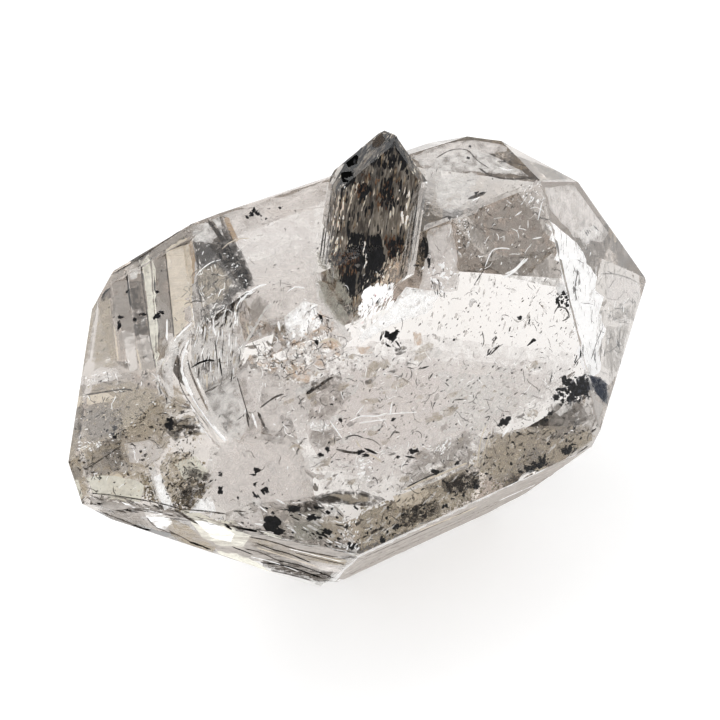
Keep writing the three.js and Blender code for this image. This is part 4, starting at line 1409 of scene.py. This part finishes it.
# Flakes by kind, outline in the picture, how many, least and most depth, least and most length in
# millimetres, width by length, and slant in degrees or None for any
FLAKES = [
    ("haze", WHOLE_FRONT, 300, 0.5, 6, 0.15, 0.9, 0.7, None),
    ("grey", WHOLE_FRONT, 260, 0.3, 3, 0.1, 0.7, 0.5, None),
    ("haze", MIDDLE, 160, 0.5, 4, 0.2, 1.1, 0.6, 30),
    ("pale", MIDDLE, 90, 0.4, 2, 0.3, 2.0, 0.4, 20),
    ("sand", MIDDLE, 80, 0.4, 2, 0.3, 1.6, 0.5, 20),
    ("smoke", MIDDLE, 30, 0.4, 2, 0.2, 1.4, 0.3, 20),
    ("grey", MIDDLE, 60, 0.4, 3, 0.15, 0.9, 0.5, 30),
    ("umber", MIDDLE, 230, 0.3, 2, 0.06, 0.4, 0.25, 35),
    ("dark", MIDDLE, 300, 0.3, 1.5, 0.05, 0.26, 0.45, 40),
    ("glowing_white", MIDDLE, 150, 0.3, 1.5, 0.05, 0.45, 0.15, 25),
    # Painted glints, scattered over the whole front
    ("glowing_white", WHOLE_FRONT, 330, 0.3, 2, 0.05, 0.36, 0.3, None),
    ("umber", WHOLE_FRONT, 800, 0.3, 2, 0.05, 0.36, 0.3, 50),
    ("dark", WHOLE_FRONT, 620, 0.3, 2, 0.04, 0.2, 0.5, 50),
    ("dark", FOOT_BAND, 90, 0.5, 1.5, 0.2, 1.2, 0.1, -25),
    ("umber", FOOT_BAND, 80, 0.5, 1.5, 0.2, 1.4, 0.12, -25),
    ("pale", FOOT_BAND, 110, 0.4, 1.5, 0.3, 1.6, 0.3, -25),
    ("glowing_white", FOOT_BAND, 90, 0.3, 1, 0.1, 0.9, 0.15, -25),
    ("dark", FOOT_BAND, 60, 0.3, 0.7, 0.1, 0.5, 0.6, -20),
    ("umber", LEFT_RIM, 170, 0.4, 1.8, 0.2, 1.4, 0.1, -20),
    ("dark", LEFT_RIM, 60, 0.4, 1.8, 0.1, 0.9, 0.1, -20),
    ("glowing_white", LEFT_RIM, 60, 0.4, 1.8, 0.1, 0.9, 0.12, -20),
    ("grey", LEFT_RIM, 120, 0.4, 1.8, 0.3, 1.4, 0.25, -20),
    ("grey", RIGHT_RIM, 160, 0.4, 1.8, 0.3, 1.8, 0.2, 27),
    ("umber", RIGHT_RIM, 90, 0.4, 1.8, 0.1, 0.9, 0.06, 27),
    ("glowing_white", RIGHT_RIM, 60, 0.4, 1.8, 0.1, 0.7, 0.2, 27),
    ("glowing_white", CRINKLED, 120, 0.3, 1.0, 0.05, 0.35, 0.5, None),
    ("blush", CRINKLED, 130, 0.3, 1.5, 0.3, 0.9, 0.7, None),
    ("umber", CRINKLED, 90, 0.3, 1.0, 0.05, 0.3, 0.4, None),
    ("peach", CRINKLED, 80, 0.3, 1.5, 0.2, 0.9, 0.7, None),
    ("tan", BOTTOM, 380, 0.3, 1.2, 0.1, 0.5, 0.5, None),
    ("cream", BOTTOM, 260, 0.3, 0.9, 0.05, 0.25, 0.5, None),
    ("dark", BOTTOM, 210, 0.3, 0.9, 0.05, 0.4, 0.5, None),
    ("umber", BOTTOM, 130, 0.3, 0.9, 0.08, 0.7, 0.3, 30),
    ("pale", BOTTOM, 80, 0.3, 0.8, 0.1, 1.1, 0.2, 40),
    ("dark", RIGHT_CARBON, 90, 0.3, 0.7, 0.15, 0.5, 0.6, None),
    ("slate", RIGHT_CARBON, 80, 0.25, 0.5, 0.2, 0.6, 0.5, None),
    ("glowing_white", BOWL, 50, 0.3, 0.8, 0.2, 1.2, 0.08, 85),
    ("umber", BOWL, 60, 0.3, 0.8, 0.2, 1.4, 0.08, 85),
    ("tan", BOWL, 40, 0.3, 0.8, 0.2, 1.0, 0.2, 85),
    ("umber", FRACTURED, 110, 0.3, 1.2, 0.1, 0.8, 0.2, 60),
    ("dark", FRACTURED, 40, 0.3, 0.8, 0.1, 0.6, 0.15, 60),
    ("glowing_white", FRACTURED, 70, 0.3, 0.8, 0.05, 0.4, 0.2, None),
    ("glowing_white", TRAPEZOID, 60, 0.25, 0.6, 0.05, 0.25, 0.4, 60),
    ("dark", TRAPEZOID, 40, 0.25, 0.8, 0.05, 0.2, 0.4, None),
    ("umber", TRAPEZOID, 90, 0.25, 0.8, 0.05, 0.5, 0.2, 60),
    ("cream", LEFT_END, 130, 0.3, 0.9, 0.05, 0.22, 0.6, None),
    ("tan", LEFT_END, 90, 0.3, 1.2, 0.08, 0.4, 0.6, None),
    ("umber", LEFT_END, 260, 0.3, 0.9, 0.05, 0.35, 0.5, None),
    ("dark", LEFT_END, 110, 0.3, 0.8, 0.04, 0.2, 0.5, None),
    ("glowing_white", LEFT_END, 60, 0.3, 0.8, 0.04, 0.3, 0.3, 10),
    ("cream", TAN_PATCH, 60, 0.3, 0.6, 0.06, 0.3, 0.6, None),
    ("umber", TAN_PATCH, 150, 0.3, 0.6, 0.08, 0.5, 0.25, None),
    ("dark", TAN_PATCH, 110, 0.25, 0.5, 0.06, 0.2, 0.5, None),
    ("grey", RIGHT_BAND, 90, 0.3, 1.5, 0.3, 1.6, 0.3, 70),
    ("umber", RIGHT_BAND, 110, 0.3, 1.5, 0.1, 0.9, 0.15, 70),
    ("glowing_white", RIGHT_BAND, 80, 0.3, 1.5, 0.1, 0.9, 0.2, 70),
    ("grey", WHITE_BAND, 130, 0.2, 0.4, 0.2, 1.4, 0.2, 75),
    ("umber", WHITE_BAND, 80, 0.2, 0.4, 0.1, 0.9, 0.12, 80),
    ("umber", BRIGHT, 130, 0.3, 1.2, 0.04, 0.3, 0.4, 50),
    ("grey", BRIGHT, 120, 0.3, 0.7, 0.1, 0.9, 0.3, 80),
    ("dark", [(431, 279), (441, 282), (448, 296), (434, 294)], 26, 0.3, 1, 0.2, 0.7, 0.15, 105),
    ("dark", [(556, 294), (567, 290), (570, 306), (557, 312)], 50, 0.3, 0.6, 0.1, 0.4, 0.6, None),
    ("umber", TRAPEZOID_LEFT, 40, 0.3, 0.6, 0.08, 0.3, 0.5, None),
    ("glowing_white", TRAPEZOID_LEFT, 40, 0.3, 0.6, 0.08, 0.3, 0.5, None),
    ("glowing_white", [(522, 188), (542, 186), (547, 204), (526, 206)], 50, 0.3, 0.6, 0.08, 0.4, 0.3, 60),
    ("glowing_white", [(357, 458), (372, 460), (378, 480), (358, 482)], 60, 0.3, 0.6, 0.06, 0.35, 0.5, 20),
    ("glowing_white", [(434, 452), (441, 442), (452, 438), (452, 446), (442, 456)], 40, 0.3, 0.6, 0.06, 0.35,
     0.4, 50),
    ("glowing_white", [(80, 440), (104, 442), (94, 452), (80, 450)], 40, 0.2, 0.5, 0.06, 0.35, 0.4, 5),
    ("glowing_white", [(86, 376), (112, 371), (112, 380), (88, 388)], 40, 0.2, 0.5, 0.05, 0.35, 0.3, 15),
    ("glowing_white", [(306, 322), (316, 310), (324, 318), (318, 330)], 40, 0.3, 0.7, 0.1, 0.4, 0.6, None),
    ("glowing_white", [(308, 420), (330, 420), (330, 430), (312, 430)], 24, 0.3, 0.6, 0.06, 0.35, 0.5, None),
    ("dark", [(528, 464), (548, 450), (552, 462), (530, 476)], 70, 0.3, 0.7, 0.08, 0.4, 0.5, 20),
    ("dark", [(562, 446), (574, 436), (578, 450), (566, 456)], 40, 0.3, 0.7, 0.08, 0.4, 0.5, 20),
    ("umber", [(448, 480), (478, 470), (480, 486), (452, 494)], 90, 0.3, 0.7, 0.1, 0.6, 0.5, 20),
    ("umber", [(402, 510), (436, 502), (434, 518), (404, 526)], 70, 0.3, 0.7, 0.1, 0.6, 0.5, 20),
    ("glowing_white", [(340, 516), (360, 516), (362, 548), (348, 552)], 60, 0.3, 0.6, 0.08, 0.4, 0.4, 60),
    ("dark", [(306, 532), (334, 528), (352, 548), (330, 548)], 26, 0.3, 0.6, 0.1, 0.5, 0.5, -30),
    ("umber", [(574, 268), (581, 268), (582, 302), (575, 300)], 30, 0.3, 0.6, 0.2, 0.7, 0.4, 85),
    ("smoke", [(600, 300), (640, 300), (634, 322), (604, 322)], 40, 0.3, 0.8, 0.2, 1.0, 0.4, 20),
    ("dark", [(222, 244), (232, 246), (254, 284), (246, 290)], 70, 0.3, 0.8, 0.1, 0.5, 0.4, -60),
    ("glowing_white", [(224, 250), (234, 256), (250, 286), (240, 288)], 30, 0.3, 0.6, 0.05, 0.3, 0.4, None),
    ("sand", [(160, 418), (200, 412), (206, 436), (170, 446)], 40, 0.3, 0.8, 0.2, 1.0, 0.3, 10),
    ("dark", [(594, 380), (606, 386), (608, 404), (600, 398)], 50, 0.3, 0.6, 0.1, 0.5, 0.5, None),
    ("dark", [(382, 332), (402, 330), (402, 346), (388, 348)], 30, 0.3, 0.6, 0.06, 0.3, 0.5, None),
    ("glowing_white", [(422, 262), (456, 258), (458, 290), (430, 294)], 60, 0.3, 0.7, 0.1, 0.6, 0.5, None),
]

# Slivers just under the smoky crystal's own faces: kind, outline, how many, least and most length in
# millimetres, and width by length
SHELL_FLAKES = [
    ("green", FOOT_GREEN, 330, 0.3, 1.2, 0.5),
    ("grey", FOOT_GREEN, 60, 0.3, 1.1, 0.3),
    ("umber", FOOT_GREEN, 70, 0.15, 0.9, 0.12),
    ("glowing_white", [(366, 290), (396, 286), (392, 306), (364, 322)], 160, 0.2, 0.9, 0.6),
    ("glowing_white", FOOT_LIGHT, 260, 0.1, 0.8, 0.6),
    ("rose", FOOT_LIGHT, 34, 0.1, 0.4, 0.3),
    ("umber", FOOT_LIGHT, 50, 0.1, 0.6, 0.2),
    ("peach", [(386, 258), (408, 258), (404, 280), (386, 288), (376, 284)], 50, 0.2, 0.8, 0.4),
    ("cream", [(386, 262), (406, 262), (402, 280), (384, 288)], 24, 0.1, 0.6, 0.3),
    ("pale", [(328, 190), (335, 190), (324, 262), (317, 262)], 30, 0.2, 1.0, 0.15),
    ("grey", [(328, 190), (335, 190), (324, 280), (317, 280)], 40, 0.3, 1.4, 0.15),
    ("grey", SMOKY_RIGHT, 200, 0.3, 1.8, 0.15),
    ("umber", SMOKY_RIGHT, 60, 0.3, 1.6, 0.05),
]

# Stains and lines on the two lower faces, half sunk into them: kind, outline, how many, least and
# most length in millimetres, width by length and slant in degrees
SURFACE_FLAKES = [
    ("grey", LEFT_FACET, 60, 0.4, 2.4, 0.3, -19),
    ("blush", LEFT_FACET, 50, 0.4, 2.4, 0.25, -19),
    ("smoke", LEFT_FACET, 80, 0.4, 2.6, 0.15, -19),
    ("umber", LEFT_FACET, 90, 0.2, 2.4, 0.1, -19),
    ("dark", LEFT_FACET, 30, 0.1, 0.9, 0.3, -19),
    ("glowing_white", LEFT_FACET, 40, 0.1, 1.2, 0.15, -19),
    ("umber", FOOT_FACET, 70, 0.3, 3.4, 0.1, -17),
    ("dark", FOOT_FACET, 90, 0.2, 2.6, 0.1, -17),
    ("ivory", FOOT_FACET, 60, 0.2, 2.4, 0.1, -17),
    ("grey", RIGHT_FACET, 60, 0.5, 3.4, 0.12, 27),
    ("sand", RIGHT_FACET, 40, 0.4, 2.8, 0.15, 27),
    ("smoke", RIGHT_FACET, 60, 0.2, 2.4, 0.1, 27),
    ("glowing_white", RIGHT_FACET, 50, 0.1, 1.2, 0.12, 27),
]

# Small wandering lines by kind, outline in the picture, how many, least and most length and most
# width in pixels, and most depth in millimetres
CURLS = [
    ("umber", MIDDLE, 80, 4, 20, 0.9, 1.5),
    ("dark", MIDDLE, 34, 3, 11, 1.0, 1.2),
    ("glowing_white", MIDDLE, 40, 4, 18, 0.8, 1.2),
    ("umber", WHOLE_FRONT, 220, 4, 14, 0.8, 2.0),
    ("glowing_white", WHOLE_FRONT, 70, 4, 14, 0.8, 2.0),
    ("dark", WHOLE_FRONT, 60, 3, 8, 1.0, 1.5),
    ("umber", CRINKLED, 90, 5, 18, 1.0, 1.0),
    ("glowing_white", CRINKLED, 24, 4, 14, 0.8, 0.8),
    ("umber", FRACTURED, 24, 8, 26, 1.2, 1.0),
    ("glowing_white", FRACTURED, 7, 6, 16, 0.8, 0.8),
    ("umber", LEFT_END, 60, 4, 16, 1.1, 1.0),
    ("glowing_white", LEFT_END, 14, 4, 16, 0.9, 0.8),
    ("umber", RIGHT_BAND, 36, 5, 22, 1.0, 1.0),
    ("umber", BOTTOM, 50, 4, 16, 1.1, 0.9),
    ("dark", BOTTOM, 26, 3, 10, 1.5, 0.9),
    ("umber", TRAPEZOID, 18, 6, 24, 0.9, 0.8),
    ("glowing_white", TRAPEZOID, 12, 5, 18, 0.9, 0.7),
]
CURL_SHALLOWEST = 0.3  # millimetres
CURL_WIDTHS = (0.6, 1)  # by the most width
CURL_STEPS = 5
CURL_BEND = 0.65
CURL_STEP = 2  # pixels
LINE_STEP = 4

FLAKE_WIDTHS = (0.7, 1.4)  # by the width that a list gives
FLAKE_TILT = 0.35
FLAKE_STRAY = 7  # degrees from its slant
FLAKE_COVER = 0.3  # millimetres of quartz over a flake, or this share of its size
INNER_MARGIN = 0.12  # millimetres
SHALLOW_MARGIN = 0.6  # of its depth, where this is less
SHELL_DEEPEST = 0.08
SHELL_TURN = 0.2
SURFACE_STRAY = 5  # degrees

# The clear strips beside the smoky core: both ends of each edge, and how many fine lines, which are
# of these kinds
STRIPS = [
    ((331, 180), (317, 278), (340, 180), (327, 278), 16),
    ((415, 190), (399, 282), (427, 187), (411, 276), 24),
]
STRIP_KINDS = ("umber", "grey", "pale", "smoke")
STRIP_START = (0, 0.7)  # along the strip, as is the length
STRIP_LENGTH = (0.15, 0.6)
STRIP_WIDTH = (0.8, 1.8)  # pixels


def curl(rng, x, y, length):
    """A short wandering line of the picture."""
    turn = rng.uniform(0, math.tau)
    pixels = [(x, y)]
    for _ in range(CURL_STEPS):
        turn += rng.uniform(-CURL_BEND, CURL_BEND)
        x += math.cos(turn) * length / CURL_STEPS
        y += math.sin(turn) * length / CURL_STEPS
        pixels.append((x, y))
    return pixels


def smaller(outline, share):
    """An outline drawn in towards its middle."""
    middle = sum((Vector(pixel) for pixel in outline), Vector((0, 0))) / len(outline)
    return [tuple(middle.lerp(Vector(pixel), share)) for pixel in outline]


def at_depth(depth):
    """What finds a pixel's place at a depth, or at the surface."""
    if depth == SURFACE:
        return stained
    margin = min(INNER_MARGIN, depth * SHALLOW_MARGIN)
    return lambda x, y: inside(x, y, depth, margin)


def add_films(kinds, rng):
    for kind, depth, outline in FILMS:
        for i, share in enumerate(SHEETS if kind in SOFT else SHEETS[:1]):
            below = depth and depth + UNDER_LINES + i * SHEET_GAP
            rim = roughened(rng, smaller(outline, share), RIM_STEP, RIM_JITTER)
            plate(kinds[kind], rim, at_depth(below))


def add_lines(kinds, rng):
    for kind, width, depth, pixels in LINES:
        stroke(kinds[kind], rng, pixels, width, at_depth(depth), LINE_STEP)
    for top, bottom, other_top, other_bottom, count in STRIPS:
        for _ in range(count):
            side, start = rng.random(), rng.uniform(*STRIP_START)
            length = rng.uniform(*STRIP_LENGTH)
            upper = Vector(top).lerp(Vector(other_top), side)
            lower = Vector(bottom).lerp(Vector(other_bottom), side)
            line = [upper.lerp(lower, min(1, start + length * share)) for share in (0, 0.5, 1)]
            parts = kinds[rng.choice(STRIP_KINDS)]
            stroke(parts, rng, line, rng.uniform(*STRIP_WIDTH), on_shell, LINE_STEP)


def add_flakes(kinds, rng):
    for kind, outline, count, shallow, deep, least, most, ratio, slant in FLAKES:
        for x, y in pixels_in(rng, outline, count):
            point = inside(x, y, rng.uniform(shallow, deep), margin=INNER_MARGIN)
            size = mostly_small(rng, least, most)
            if not point or not within(point, FLAKE_COVER * min(1, size)):
                continue
            angle = rng.uniform(0, 180) if slant is None else rng.gauss(slant, FLAKE_STRAY)
            flake(kinds[kind], rng, point, near(rng, BACK, FLAKE_TILT),
                  slanted(math.radians(angle)), size, size * ratio * rng.uniform(*FLAKE_WIDTHS),
                  FILM_THICK, RAGGED_RIM)


def add_shell_flakes(kinds, rng):
    for kind, outline, count, least, most, ratio in SHELL_FLAKES:
        for x, y in pixels_in(rng, outline, count):
            spot = on_shell(x, y)
            if spot:
                size = mostly_small(rng, least, most)
                normal = SHELL.find_nearest(spot)[1]
                below = spot - normal * rng.uniform(0, SHELL_DEEPEST) * MM
                flake(kinds[kind], rng, below, normal, near(rng, SMOKY_AXIS, SHELL_TURN), size,
                      size * ratio, FINE_THICK, TORN_RIM)


def add_surface_flakes(kinds, rng):
    for kind, outline, count, least, most, ratio, slant in SURFACE_FLAKES:
        for x, y in pixels_in(rng, outline, count):
            seen = on_skin(x, y)
            if seen:
                size = mostly_small(rng, least, most)
                place, normal, _ = seen
                along = slanted(math.radians(rng.gauss(slant, SURFACE_STRAY)))
                flake(kinds[kind], rng, place, normal, along, size, size * ratio, FINE_THICK,
                      RAGGED_RIM)


def add_curls(kinds, rng):
    for kind, outline, count, least, most, width, deep in CURLS:
        for x, y in pixels_in(rng, outline, count):
            length = mostly_small(rng, least, most)
            place = at_depth(rng.uniform(CURL_SHALLOWEST, deep))
            pixels = curl(rng, x, y, length)
            wide = width * rng.uniform(*CURL_WIDTHS)
            stroke(kinds[kind], rng, pixels, wide, place, CURL_STEP)


def films():
    """All films, lines and flakes, one joined mesh for each kind."""
    rng = random.Random(53)
    kinds = {kind: Parts() for kind in KINDS}
    for add in (add_films, add_lines, add_flakes, add_shell_flakes, add_surface_flakes, add_curls):
        add(kinds, rng)
    for kind, parts in kinds.items():
        parts.piece("film_" + kind, film_material("film_" + kind, *KINDS[kind]))


# What surrounds the crystal

FLOOR_DROP = 0.03 * MM
PAPER = (0.74, 0.74, 0.74, 1)
PAPER_GLOW = 0.46
DIM_SIDE = (-0.1, -0.92, 0.38)  # the room is darker in front of the crystal
ROOM_LIGHT = [(0.0, 0.98), (0.76, 0.94), (0.87, 0.26), (1.0, 0.1)]  # up to the dim side
LAMP_WAY = (-0.3, 0.5, 1.0)
LAMP_DISTANCE = 0.5  # metres
LAMP_SIZE = 0.4
LAMP_POWER = 0.5  # watts


def paper_floor():
    bpy.ops.mesh.primitive_plane_add(size=2, location=(0, 0, -FLOOR_DROP))
    floor = bpy.context.object
    floor.name = "floor"
    paper = Shader(
        "paper", Base_Color=PAPER, Roughness=0.9, Emission_Color=(1, 1, 1, 1),
        Emission_Strength=PAPER_GLOW,
    )
    floor.data.materials.append(paper.material)


def studio():
    """Soft light from all around, except from the dim side."""
    world = bpy.data.worlds.new("studio")
    bpy.context.scene.world = world
    world.use_nodes = True
    nodes, links = world.node_tree.nodes, world.node_tree.links
    way = nodes.new("ShaderNodeTexCoord")
    split = nodes.new("ShaderNodeVectorMath")
    split.operation = "DOT_PRODUCT"
    split.inputs[1].default_value = Vector(DIM_SIDE).normalized()
    shade = nodes.new("ShaderNodeValToRGB")
    set_stops(shade.color_ramp, ROOM_LIGHT)
    links.new(way.outputs["Generated"], split.inputs[0])
    links.new(split.outputs["Value"], shade.inputs["Fac"])
    links.new(shade.outputs["Color"], nodes["Background"].inputs["Color"])
    nodes["Background"].inputs["Strength"].default_value = 1.0


def lamp():
    light = bpy.data.lights.new("key", "AREA")
    light.shape = "RECTANGLE"
    light.size = light.size_y = LAMP_SIZE
    light.energy = LAMP_POWER
    made = bpy.data.objects.new("key", light)
    bpy.context.scene.collection.objects.link(made)
    made.location = CLEAR_MIDDLE + Vector(LAMP_WAY).normalized() * LAMP_DISTANCE
    made.rotation_euler = (CLEAR_MIDDLE - made.location).to_track_quat("-Z", "Y").to_euler()


def camera():
    lens = bpy.data.cameras.new("camera")
    lens.lens = LENS
    lens.sensor_width = SENSOR
    lens.clip_start = NEAREST_SEEN
    lens.clip_end = FARTHEST_SEEN
    made = bpy.data.objects.new("camera", lens)
    bpy.context.scene.collection.objects.link(made)
    made.location = EYE
    aim = CLEAR_MIDDLE + UP * AIM_OVER_MIDDLE - EYE
    made.rotation_euler = aim.to_track_quat("-Z", "Y").to_euler()
    bpy.context.scene.camera = made


def light_paths():
    """Light passes many faces and flakes before it comes out again."""
    scene = bpy.context.scene
    scene.view_settings.view_transform = "Standard"
    scene.cycles.max_bounces = 16
    scene.cycles.transmission_bounces = 14
    scene.cycles.glossy_bounces = 6
    scene.cycles.transparent_max_bounces = 24


camera()
paper_floor()
studio()
lamp()
light_paths()
quartz_skin()
smoky_core()
black_flecks()
specks()
tan_grains()
fine_cracks()
films()
